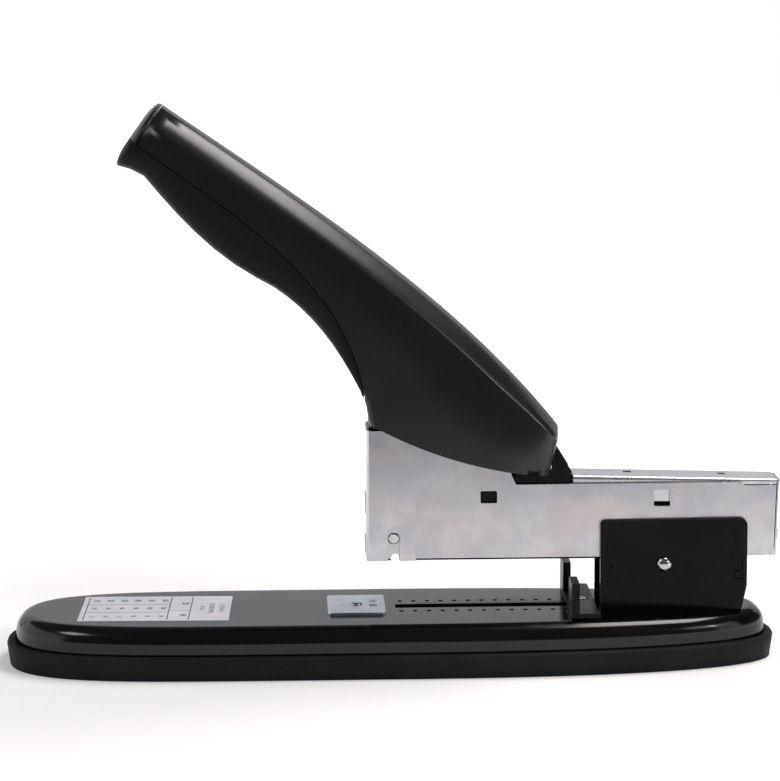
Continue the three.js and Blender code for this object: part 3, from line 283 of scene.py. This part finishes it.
def mesh_object(name: str, points: np.ndarray, faces: np.ndarray | list) -> bpy.types.Object:
    """Puts points and faces into a new mesh object at the origin.

    Args:
        name: object name.
        points: N by 3 positions in metres.
        faces: index rows, counter-clockwise seen from outside.

    Returns:
        The new object, linked to the scene.
    """
    mesh = bpy.data.meshes.new(name)
    mesh.from_pydata(np.asarray(points).tolist(), [], [tuple(int(i) for i in face) for face in faces])
    mesh.update()
    piece = bpy.data.objects.new(name, mesh)
    bpy.context.scene.collection.objects.link(piece)
    return piece


def box_cloud(centres: np.ndarray, sizes: np.ndarray) -> tuple[np.ndarray, np.ndarray]:
    """Many small closed boxes at once.

    A corner is centre + size * (+-1/2, +-1/2, +-1/2), worked out for all the boxes in one array.

    Args:
        centres: N by 3 middles in metres.
        sizes: N by 3 edge lengths in metres.

    Returns:
        The 8N points and the 6N four-sided faces.
    """
    signs = np.array([[x, y, z] for z in (-1, 1) for y in (-1, 1) for x in (-1, 1)], float) / 2
    points = (centres[:, None, :] + sizes[:, None, :] * signs[None, :, :]).reshape(-1, 3)
    sides = np.array([[0, 2, 3, 1], [4, 5, 7, 6], [0, 1, 5, 4], [2, 6, 7, 3], [0, 4, 6, 2], [1, 3, 7, 5]])
    faces = (np.arange(len(centres))[:, None, None] * 8 + sides[None]).reshape(-1, 4)
    return points, faces


def rounded_plate(centre: Triple, half: tuple[float, float], corner: float, sheet: float,
                  edge: float) -> tuple[np.ndarray, list]:
    """A flat plate with rounded corners and softened top edges, as rings joined by quads.

    The outline at angle t is the corner centre of its quadrant plus corner * (cos t, sin t). The rings are the
    outline drawn in by 0, 0, edge * 0.3 and edge, at heights 0, sheet - edge, sheet - edge * 0.3 and sheet.

    Args:
        centre: middle of the underside in metres.
        half: half length along X and half width along Y in metres.
        corner: corner radius in metres.
        sheet: thickness in metres.
        edge: radius of the top edge in metres.

    Returns:
        The points and the faces.
    """
    steps = 8
    quarter = np.linspace(0, math.pi / 2, steps)
    angles = (quarter[None, :] + np.arange(4)[:, None] * math.pi / 2).ravel()
    signs = np.repeat(np.array([[1, 1], [-1, 1], [-1, -1], [1, -1]], float), steps, axis=0)
    way = np.stack([np.cos(angles), np.sin(angles)], axis=1)
    inner = signs * (np.array(half) - corner)
    drawn = np.array([0, 0, edge * 0.3, edge])
    heights = np.array([0, sheet - edge, sheet - edge * 0.3, sheet])
    flat = inner[None] + way[None] * (corner - drawn)[:, None, None]
    points = np.concatenate([flat, np.broadcast_to(heights[:, None, None], (*flat.shape[:2], 1))], axis=2)
    count = len(angles)
    rows, column = np.arange(len(drawn) - 1)[:, None] * count, np.arange(count)[None]
    after = (column + 1) % count
    quads = np.stack([rows + column, rows + after, rows + count + after, rows + count + column], axis=2)
    faces = quads.reshape(-1, 4).tolist()
    faces.append(list(range(count))[::-1])
    faces.append(list(range((len(drawn) - 1) * count, len(drawn) * count)))
    return points.reshape(-1, 3) + np.array(centre), faces


def smooth(piece: bpy.types.Object, degrees: float = 32.0) -> None:
    """Shades a mesh smooth and keeps every edge sharper than the given angle crisp.

    Args:
        piece: the mesh object.
        degrees: the angle.
    """
    mesh = piece.data
    mesh.polygons.foreach_set("use_smooth", np.ones(len(mesh.polygons), bool))
    mesh.set_sharp_from_angle(angle=math.radians(degrees))


def dress(piece: bpy.types.Object, finish: Finish, body: Body) -> None:
    """Gives a new piece its finish and its body.

    Args:
        piece: the mesh object.
        finish: its finish.
        body: the body that it rides on.
    """
    piece.data.materials.clear()
    piece.data.materials.append(finish.build())
    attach(piece, body.value)


def softened(node: str, finish: Finish, body: Body, edge: float = 0.0, degrees: float = 30.0,
             level_faces: bool = False) -> bpy.types.Object:
    """Stands a copy of a CAD node in its place, merged, with a small radius on its edges.

    Args:
        node: the CAD node's name.
        finish: the finish of the piece.
        body: the body the node rides on.
        edge: edge radius in millimetres; 0 leaves the edges as they are.
        degrees: edges turning by more than this are rounded.
        level_faces: keeps large flat faces evenly shaded even where no edge is rounded.

    Returns:
        The new piece.
    """
    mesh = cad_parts[node].data.copy()
    piece = bpy.data.objects.new(node + "_skin", mesh)
    bpy.context.scene.collection.objects.link(piece)
    work = bmesh.new()
    work.from_mesh(mesh)
    bmesh.ops.remove_doubles(work, verts=work.verts, dist=MERGE_REACH)
    work.to_mesh(mesh)
    work.free()
    smooth(piece, degrees)
    if edge:
        bevel = piece.modifiers.new("edge radius", "BEVEL")
        bevel.width = edge * MM
        bevel.segments = 2
        bevel.limit_method = "ANGLE"
        bevel.angle_limit = math.radians(degrees)
        bevel.use_clamp_overlap = True
        bevel.face_strength_mode = "FSTR_AFFECTED"
    if edge or level_faces:
        level = piece.modifiers.new("flat faces stay flat", "WEIGHTED_NORMAL")
        level.mode = "FACE_AREA"
        level.weight = 80
        level.keep_sharp = True
        level.use_face_influence = bool(edge)
    dress(piece, finish, body)
    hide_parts(node)
    return piece


def recolour(node: str, finish: Finish) -> None:
    """Assigns a finish to a CAD node that stays as it is.

    Args:
        node: the CAD node's name.
        finish: its finish.
    """
    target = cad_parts[node]
    if not target.data.materials:
        target.data.materials.append(finish.build())
    for slot in target.material_slots:
        slot.material = finish.build()


# ---------------------------------------------------------------- sub-assemblies


@dataclass
class Base:
    """The rubber tray, steel cover, anvil, hinge bracket and what rivets and screws them.

    Lengths are in millimetres. The marks stand at even steps in two rows, one on each side of the slot.
    """

    body: Body = Body.BASE
    fasteners: int = 4
    mark_pitch: float = 5.0
    mark_first: float = 2.8
    mark_count: int = 13
    mark_offset: float = 8.0
    mark_size: Triple = (1.5, 2.2, 0.03)
    mark_lift: float = 0.01

    def build(self) -> None:
        """Dresses the base's nodes and adds its printed scale."""
        softened("rubber_base_tray", BASE_RUBBER, self.body, degrees=40.0)
        softened("steel_base_cover", GLOSS_PAINT, self.body, degrees=40.0, level_faces=True)
        softened("anvil_plate", ANVIL_PLATE, self.body, 0.2)
        softened("anvil_rivet", BRIGHT, self.body, degrees=50.0)
        softened("hinge_bracket", BRACKET_PAINT, self.body, 0.5)
        softened("head_hinge_pin", BRIGHT, self.body, degrees=50.0)
        softened("head_return_spring", SPRING, self.body, degrees=50.0)
        for index in range(1, self.fasteners + 1):
            recolour(f"base_screw_{index}", ZINC)
            softened(f"bracket_rivet_{index}", SATIN_STEEL, self.body, degrees=50.0)
        recolour("hinge_sleeve", BRIGHT)
        self._scale()
        log.info("base dressed")

    def _scale(self) -> None:
        """Two rows of small stamped marks, one on each side of the slot, at even steps."""
        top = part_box("steel_base_cover")[1][2]
        along = (self.mark_first + self.mark_pitch * np.arange(self.mark_count)) * MM
        x, y = np.meshgrid(along, np.array([-1, 1]) * self.mark_offset * MM, indexing="ij")
        centres = np.stack([x.ravel(), y.ravel(), np.full(x.size, top + self.mark_lift * MM)], axis=1)
        sizes = np.broadcast_to(np.array(self.mark_size) * MM, centres.shape)
        points, faces = box_cloud(centres, sizes)
        dress(mesh_object("scale_marks", points, faces), SCALE_INK, self.body)


@dataclass
class Label:
    """The pale label on the front of the base, printed with a plain table of numbers.

    Lengths are in millimetres. The table's columns count from the left edge of the label.
    """

    left: float = -113.2
    right: float = -59.0
    half_width: float = 19.5
    sheet: float = 0.16
    print_height: float = 0.03
    margin: float = 1.0
    first_rule: float = 1.9
    second_rule: float = 31.95
    third_rule: float = 39.7
    columns: int = 6
    skew_degrees: float = -1.4
    corner: float = 0.5
    rule_across: float = 0.34
    rule_along: float = 0.45
    upper_row: float = 6.2
    lower_row: float = -6.2
    side_row: float = -3.4

    def build(self) -> None:
        """Adds the label plate, its rules and its numbers."""
        self.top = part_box("steel_base_cover")[1][2]
        middle = ((self.left + self.right) / 2 * MM, 0.0, self.top - 0.01 * MM)
        half = ((self.right - self.left) / 2 * MM, self.half_width * MM)
        points, faces = rounded_plate(middle, half, self.corner * MM, self.sheet * MM, self.sheet / 4 * MM)
        plate = mesh_object("base_label", self._laid(points), faces)
        smooth(plate, 30)
        dress(plate, LABEL_FOIL, Body.BASE)
        self._rules()
        self._numbers()
        log.info("label built")

    def _laid(self, points: np.ndarray) -> np.ndarray:
        """Turns points about the label's middle by the small angle at which it was stuck on.

        Args:
            points: N by 3 positions in metres.

        Returns:
            The turned positions.
        """
        turn = math.radians(self.skew_degrees)
        middle = (self.left + self.right) / 2 * MM
        x, y = points[:, 0] - middle, points[:, 1]
        return np.stack([middle + x * math.cos(turn) - y * math.sin(turn),
                         x * math.sin(turn) + y * math.cos(turn), points[:, 2]], axis=1)

    def _rules(self) -> None:
        """Rules of the table: three dark ones across the label, and thin grey ones along it."""
        height = self.top + self.sheet * MM
        lift = self.print_height * MM
        across = np.array([self.first_rule, self.second_rule, self.third_rule]) + self.left
        reach = (self.half_width - self.margin * 1.6) * 2
        centres = np.stack([across, np.zeros(3), np.zeros(3)], axis=1) * MM
        centres[:, 2] = height
        sizes = np.broadcast_to(np.array([self.rule_across * MM, reach * MM, lift]), centres.shape)
        points, faces = box_cloud(centres, sizes)
        dress(mesh_object("label_rules_across", self._laid(points), faces), DARK_INK, Body.BASE)
        rows = np.array([[self.first_rule, self.second_rule, self.upper_row],
                         [self.first_rule, self.second_rule, self.lower_row],
                         [self.second_rule, self.third_rule, self.side_row]])
        centres = np.stack([(rows[:, 0] + rows[:, 1]) / 2 + self.left, rows[:, 2], np.zeros(3)], axis=1) * MM
        centres[:, 2] = height
        sizes = np.stack([(rows[:, 1] - rows[:, 0]) * MM, np.full(3, self.rule_along * MM), np.full(3, lift)], axis=1)
        points, faces = box_cloud(centres, sizes)
        dress(mesh_object("label_rules_along", self._laid(points), faces), LABEL_INK, Body.BASE)

    def _numbers(self) -> None:
        """Numbers in the table's cells, and larger ones to its right, read from the grip end."""
        pitch = (self.second_rule - self.first_rule) / self.columns
        strings, places, heights = [], [], []
        for column in range(self.columns):
            for row, (across, tall) in enumerate(((12.6, 3.4), (0.2, 2.6), (-12.6, 2.4))):
                strings.append(str((column + 1) * (10, 20, 5)[row]))
                places.append((self.first_rule + pitch * (column + 0.55), across))
                heights.append(tall)
        self._write("label_numbers", strings, places, heights, LABEL_INK)
        strings = ["20", "40", "0 1 2 3", "0 10 20 30 40", "1 2 3 4 5 6"]
        places = [(37.4, 7.5), (37.4, -11.0), (43.8, 0.0), (47.2, 0.0), (51.0, 0.0)]
        self._write("label_figures", strings, places, [3.4, 3.4, 2.2, 2.6, 2.6], LABEL_INK)

    def _write(self, name: str, strings: list[str], places: list[tuple[float, float]], heights: list[float],
               finish: Finish) -> None:
        """Sets strings across the label, so that they are read with the grip end to the left hand.

        Args:
            name: piece name.
            strings: what to write.
            places: millimetres from the label's left edge and across from its mid-line.
            heights: letter heights in millimetres.
            finish: the ink.
        """
        blocks, faces, count = [], [], 0
        depsgraph = bpy.context.evaluated_depsgraph_get()
        for text, (along, across), tall in zip(strings, places, heights):
            curve = bpy.data.curves.new(name + "_text", "FONT")
            curve.body = text
            curve.align_x = "CENTER"
            curve.align_y = "CENTER"
            curve.size = tall * MM
            curve.extrude = self.print_height / 2 * MM
            curve.resolution_u = 2
            curve.offset = 0.03 * tall * MM
            holder = bpy.data.objects.new(name + "_text", curve)
            bpy.context.scene.collection.objects.link(holder)
            depsgraph.update()
            mesh = bpy.data.meshes.new_from_object(holder.evaluated_get(depsgraph))
            bpy.data.objects.remove(holder)
            bpy.data.curves.remove(curve)
            points = np.empty(len(mesh.vertices) * 3, np.float32)
            mesh.vertices.foreach_get("co", points)
            points = points.reshape(-1, 3)
            turned = np.stack([points[:, 1], -points[:, 0], points[:, 2]], axis=1)
            place = np.array([(self.left + along) * MM, across * MM, self.top + self.sheet * MM])
            blocks.append(turned + place)
            faces.extend([tuple(index + count for index in face.vertices) for face in mesh.polygons])
            count += len(points)
            bpy.data.meshes.remove(mesh)
        dress(mesh_object(name, self._laid(np.concatenate(blocks)), faces), finish, Body.BASE)


@dataclass
class PaperStop:
    """The sliding stop with its two posts, clamp screw and nut."""

    body: Body = Body.STOP

    def build(self) -> None:
        """Dresses the stop's nodes."""
        softened("paper_stop", SATIN_STEEL, self.body, 0.25)
        softened("paper_stop_screw", BRIGHT, self.body, 0.1)
        recolour("paper_stop_nut", ZINC)
        log.info("paper stop dressed")


@dataclass
class StapleHead:
    """The plated head: frame plates, nose cover, magazine and handle bracket."""

    body: Body = Body.HEAD

    def build(self) -> None:
        """Dresses the head's nodes."""
        for node, edge in (("left_frame_plate", 0.28), ("right_frame_plate", 0.28), ("magazine_channel", 0.2)):
            softened(node, ZINC, self.body, edge)
        # the cap's brighter zinc is its plating colour plus painted highlight
        softened("magazine_cap", CAP_ZINC_PAINTED_HIGHLIGHT, self.body, 0.12)
        softened("nose_cover", COVER_ZINC, self.body, 0.24)
        softened("staple_rail", SATIN_STEEL, self.body, 0.12)
        softened("handle_bracket", SATIN_STEEL, self.body, 0.15)
        softened("cover_stud_left", BRIGHT, self.body, 0.2)
        softened("cover_stud_right", BRIGHT, self.body, 0.2)
        softened("handle_hinge_pin", BRIGHT, self.body, degrees=50.0)
        softened("handle_return_spring", SPRING, self.body, degrees=50.0)
        log.info("head dressed")


@dataclass
class Driver:
    """The blade that pushes the staple, its carrier and pin."""

    body: Body = Body.DRIVER

    def build(self) -> None:
        """Dresses the driver's nodes."""
        softened("driver_blade", BRIGHT, self.body, 0.1)
        softened("driver_carrier", SATIN_STEEL, self.body, 0.15)
        softened("driver_pin", BRIGHT, self.body, 0.15)
        log.info("driver dressed")


@dataclass
class Handle:
    """The moulded handle, its screws and the steel lever inside it.

    The seam's points are X and Z in millimetres. The tongue covers the seam_span share of it, and seam_half is
    half its thickness and half its width in millimetres.
    """

    body: Body = Body.HANDLE
    crisp_degrees: float = 28.0
    seam: tuple[tuple[float, float], ...] = ((-92.6, 190.2), (-59.6, 164.8), (-16.8, 142.1), (-10.3, 97.6))
    seam_span: tuple[float, float] = (0.8, 1.0)
    seam_half: tuple[float, float] = (0.9, 11.0)
    seam_steps: int = 14

    def build(self) -> None:
        """Dresses the handle's nodes and adds the tongue inside its parting line."""
        self._tongue()
        for node, finish in (("handle_shell", SHELL_PLASTIC), ("handle_end_cap", SHELL_PLASTIC),
                             ("handle_grip", GRIP_PLASTIC)):
            softened(node, finish, self.body, degrees=self.crisp_degrees)
        softened("handle_lever", SATIN_STEEL, self.body, 0.2)
        for index in (1, 2):
            softened(f"grip_screw_{index}", ZINC, self.body, 0.1)
        log.info("handle dressed")

    def _tongue(self) -> None:
        """The moulded tongue that closes the parting line inside the throat.

        Its middle runs along the cubic curve through the four points of the parting line; at each step the
        ring is middle +- thickness along the curve's normal, and +- width along Y.
        """
        share = np.linspace(*self.seam_span, self.seam_steps)[:, None]
        a, b, c, d = np.array(self.seam)
        middle = (1 - share) ** 3 * a + 3 * (1 - share) ** 2 * share * b + 3 * (1 - share) * share ** 2 * c \
            + share ** 3 * d
        way = np.gradient(middle, axis=0)
        way /= np.linalg.norm(way, axis=1, keepdims=True)
        square = np.stack([-way[:, 1], way[:, 0]], axis=1)
        thick, wide = self.seam_half
        rings = []
        for side, across in ((-1, -1), (1, -1), (1, 1), (-1, 1)):
            flat = middle + side * thick * square
            rings.append(np.stack([flat[:, 0], np.full(len(flat), across * wide), flat[:, 1]], axis=1))
        points = np.stack(rings, axis=1) * MM
        count = len(points)
        row, column = np.arange(count - 1)[:, None] * 4, np.arange(4)[None]
        after = (column + 1) % 4
        faces = np.stack([row + column, row + 4 + column, row + 4 + after, row + after], axis=2).reshape(-1, 4).tolist()
        faces += [[0, 1, 2, 3], [(count - 1) * 4 + i for i in (3, 2, 1, 0)]]
        piece = mesh_object("parting_tongue", points.reshape(-1, 3), faces)
        work = bmesh.new()
        work.from_mesh(piece.data)
        bmesh.ops.recalc_face_normals(work, faces=work.faces)
        work.to_mesh(piece.data)
        work.free()
        dress(piece, SHELL_PLASTIC, self.body)


@dataclass
class Magazine:
    """The pull-out pusher, its end plate, the follower and the feed spring."""

    def build(self) -> None:
        """Dresses the nodes of the pusher and the follower."""
        softened("magazine_end_plate", ZINC, Body.PUSHER, 0.12)
        softened("pusher_rod", BRIGHT, Body.PUSHER, 0.15)
        softened("staple_follower", SATIN_STEEL, Body.FOLLOWER, 0.2)
        recolour("feed_spring", SPRING)
        log.info("magazine dressed")


# ---------------------------------------------------------------- light, floor and camera


@dataclass
class Studio:
    """A pale floor, a pale sky, soft boxes, cards that only reflections see, and the camera.

    The camera looks at a point over the middle of the base from slightly above, with a long lens. A lamp is its
    size, power, place and long axis. A card is its corner, its two edges and its shade. Lengths are in metres.
    """

    lens: float = 147.69
    sensor: float = 36.0
    distance: float = 1.1534
    azimuth: float = -1.893
    elevation: float = 9.096
    roll: float = 0.239
    target: Triple = (-0.0007, 0.0, 0.09773)
    sky_on_object: float = 0.25
    floor_shade: float = 0.8
    glow_near: float = 0.26
    glow_reach: tuple[float, float] = (0.14, 0.5)
    floor_half: float = 3.0
    floor_height: float = -0.0002
    lamp_tone: Triple = (1.0, 0.95, 0.94)

    def build(self) -> None:
        """Sets the view transform, then adds world, floor, lamps and camera."""
        scene = bpy.context.scene
        scene.view_settings.view_transform = "Standard"
        self._world(scene)
        self._floor()
        self._lamps()
        self._cards()
        self._camera(scene)

    def _seen(self, tree: bpy.types.NodeTree) -> bpy.types.NodeSocket:
        """1 for camera, glossy and transmission rays, 0 for the light that falls on the object.

        Args:
            tree: node tree of the material or world.

        Returns:
            The socket of that value.
        """
        path = tree.nodes.new("ShaderNodeLightPath")
        total = path.outputs["Is Camera Ray"]
        for name in ("Is Glossy Ray", "Is Transmission Ray"):
            larger = tree.nodes.new("ShaderNodeMath")
            larger.operation = "MAXIMUM"
            tree.links.new(total, larger.inputs[0])
            tree.links.new(path.outputs[name], larger.inputs[1])
            total = larger.outputs["Value"]
        return total

    def _world(self, scene: bpy.types.Scene) -> None:
        """A pale sky that is white to the camera and in reflections, and milder as light on the object.

        Args:
            scene: the scene that gets it.
        """
        world = bpy.data.worlds.new("studio_world")
        scene.world = world
        world.use_nodes = True
        tree = world.node_tree
        tree.nodes.clear()
        output = tree.nodes.new("ShaderNodeOutputWorld")
        lit = tree.nodes.new("ShaderNodeBackground")
        lit.inputs["Color"].default_value = (1.0, 1.0, 1.0, 1)
        lit.inputs["Strength"].default_value = self.sky_on_object
        seen = tree.nodes.new("ShaderNodeBackground")
        seen.inputs["Color"].default_value = (1, 1, 1, 1)
        seen.inputs["Strength"].default_value = 1.0
        mix = tree.nodes.new("ShaderNodeMixShader")
        tree.links.new(self._seen(tree), mix.inputs["Fac"])
        tree.links.new(lit.outputs["Background"], mix.inputs[1])
        tree.links.new(seen.outputs["Background"], mix.inputs[2])
        tree.links.new(mix.outputs["Shader"], output.inputs["Surface"])

    def _floor(self) -> None:
        """A wide plain floor just under the base, as white as the sky away from the object's shadow."""
        corners = np.array([[-1, -1, 0], [1, -1, 0], [1, 1, 0], [-1, 1, 0]], float)
        points = corners * self.floor_half + np.array([0.0, 0.0, self.floor_height])
        floor = mesh_object("floor", points, [(0, 1, 2, 3)])
        material = bpy.data.materials.new("pale_floor")
        material.use_nodes = True
        tree = material.node_tree
        shader = tree.nodes["Principled BSDF"]
        shader.inputs["Base Color"].default_value = (self.floor_shade,) * 3 + (1,)
        shader.inputs["Roughness"].default_value = 0.9
        shader.inputs["Specular IOR Level"].default_value = 0.0
        shader.inputs["Emission Color"].default_value = (1, 1, 1, 1)
        place = tree.nodes.new("ShaderNodeTexCoord")
        length = tree.nodes.new("ShaderNodeVectorMath")
        length.operation = "LENGTH"
        tree.links.new(place.outputs["Object"], length.inputs[0])
        span = tree.nodes.new("ShaderNodeMapRange")
        span.interpolation_type = "SMOOTHSTEP"
        span.inputs["From Min"].default_value, span.inputs["From Max"].default_value = self.glow_reach
        span.inputs["To Min"].default_value = self.glow_near
        span.inputs["To Max"].default_value = 1.0
        tree.links.new(length.outputs["Value"], span.inputs["Value"])
        glow = tree.nodes.new("ShaderNodeMath")
        glow.operation = "MULTIPLY"
        tree.links.new(span.outputs["Result"], glow.inputs[0])
        tree.links.new(self._seen(tree), glow.inputs[1])
        tree.links.new(glow.outputs["Value"], shader.inputs["Emission Strength"])
        floor.data.materials.append(material)

    def _lamp(self, name: str, size: tuple[float, float], power: float, place: Triple, along: Triple) -> None:
        """Adds one rectangular soft box that faces the object.

        Args:
            name: lamp name.
            size: length along its long axis and width, in metres.
            power: power in watts.
            place: middle of the box.
            along: direction of the long axis, made square to the lamp's own direction.
        """
        lamp = bpy.data.lights.new(name, "AREA")
        lamp.shape = "RECTANGLE"
        lamp.size, lamp.size_y = size
        lamp.energy = power
        lamp.color = self.lamp_tone
        holder = bpy.data.objects.new(name, lamp)
        bpy.context.scene.collection.objects.link(holder)
        backward = (Vector(place) - Vector(self.target)).normalized()
        across = backward.cross(Vector(along)).normalized()
        length = across.cross(backward)
        turn = Matrix((length, across, backward)).transposed().to_4x4()
        holder.matrix_world = Matrix.Translation(place) @ turn

    def _lamps(self) -> None:
        """A strong small box high on the right, a smaller one low beside it, and one high on the left."""
        self._lamp("key_box", (0.76, 0.34), 8.0, (0.4, 0.17, 0.97), (0.0, 1.0, 0.0))
        self._lamp("edge_box", (0.14, 0.1), 2.4, (0.74, -0.62, 0.46), (0.0, 1.0, 0.0))
        self._lamp("left_box", (0.3, 0.2), 1.5, (-0.65, -0.35, 0.85), (0.0, 1.0, 0.0))

    def _cards(self) -> None:
        """A grey card behind the object, and dark ones far and near in front, to the right and overhead."""
        self._card("grey_card", (-1.0, 0.9, 0.0), (2.0, 0.0, 0.0), (0.0, 0.0, 0.5), (0.55, 0.55, 0.57))
        self._card("dark_card", (-1.3, -1.7, 0.02), (2.6, 0.0, 0.0), (0.0, 0.0, 1.5), (0.06, 0.06, 0.06))
        self._card("front_card", (-0.5, -0.35, 0.0), (1.0, 0.0, 0.0), (0.0, 0.0, 0.4), (0.12, 0.12, 0.12))
        self._card("right_card", (0.95, -0.3, 0.1), (0.0, 1.1, 0.0), (0.0, 0.0, 0.7), (0.08, 0.08, 0.08))
        self._card("ceiling_card", (-1.6, -1.5, 1.25), (3.2, 0.0, 0.0), (0.0, 3.5, 0.0), (0.12, 0.12, 0.12))

    def _card(self, name: str, corner: Triple, first: Triple, second: Triple, shade: Triple) -> None:
        """A plain flat card that only reflections see, as a studio sets round a glossy object.

        Args:
            name: card name.
            corner: one corner.
            first: one edge from that corner.
            second: the other edge from that corner.
            shade: what it sends to a reflection, linear RGB.
        """
        start, along, up = np.array(corner), np.array(first), np.array(second)
        points = np.array([start, start + along, start + along + up, start + up])
        card = mesh_object(name, points, [(0, 1, 2, 3)])
        material = bpy.data.materials.new(name)
        material.use_nodes = True
        tree = material.node_tree
        tree.nodes.clear()
        output = tree.nodes.new("ShaderNodeOutputMaterial")
        glow = tree.nodes.new("ShaderNodeEmission")
        glow.inputs["Color"].default_value = (*shade, 1)
        glow.inputs["Strength"].default_value = 1.0
        tree.links.new(glow.outputs["Emission"], output.inputs["Surface"])
        card.data.materials.append(material)
        card.visible_camera = False
        card.visible_diffuse = False
        card.visible_shadow = False
        card.visible_transmission = False

    def _camera(self, scene: bpy.types.Scene) -> None:
        """Places the camera from its azimuth, elevation, distance and roll.

        Args:
            scene: the scene that gets it.
        """
        azimuth, elevation, roll = (math.radians(v) for v in (self.azimuth, self.elevation, self.roll))
        back = Vector((math.sin(azimuth) * math.cos(elevation), -math.cos(azimuth) * math.cos(elevation),
                       math.sin(elevation)))
        level = Vector((math.cos(azimuth), math.sin(azimuth), 0.0))
        upright = back.cross(level)
        right = level * math.cos(roll) - upright * math.sin(roll)
        up = level * math.sin(roll) + upright * math.cos(roll)
        place = Vector(self.target) + back * self.distance
        data = bpy.data.cameras.new("camera")
        data.sensor_fit = "HORIZONTAL"
        data.sensor_width = self.sensor
        data.lens = self.lens
        data.clip_start = 0.05
        camera = bpy.data.objects.new("camera", data)
        scene.collection.objects.link(camera)
        turn = Matrix((right, up, back)).transposed()
        camera.matrix_world = Matrix.Translation(place) @ turn.to_4x4()
        scene.camera = camera


def main() -> None:
    """Builds every sub-assembly, then the studio."""
    logging.basicConfig(level=logging.INFO, format="%(name)s: %(message)s")
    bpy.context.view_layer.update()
    for assembly in (Base(), Label(), PaperStop(), StapleHead(), Driver(), Handle(), Magazine()):
        assembly.build()
    Studio().build()
    bpy.context.view_layer.update()


if __name__ == "__main__":
    main()
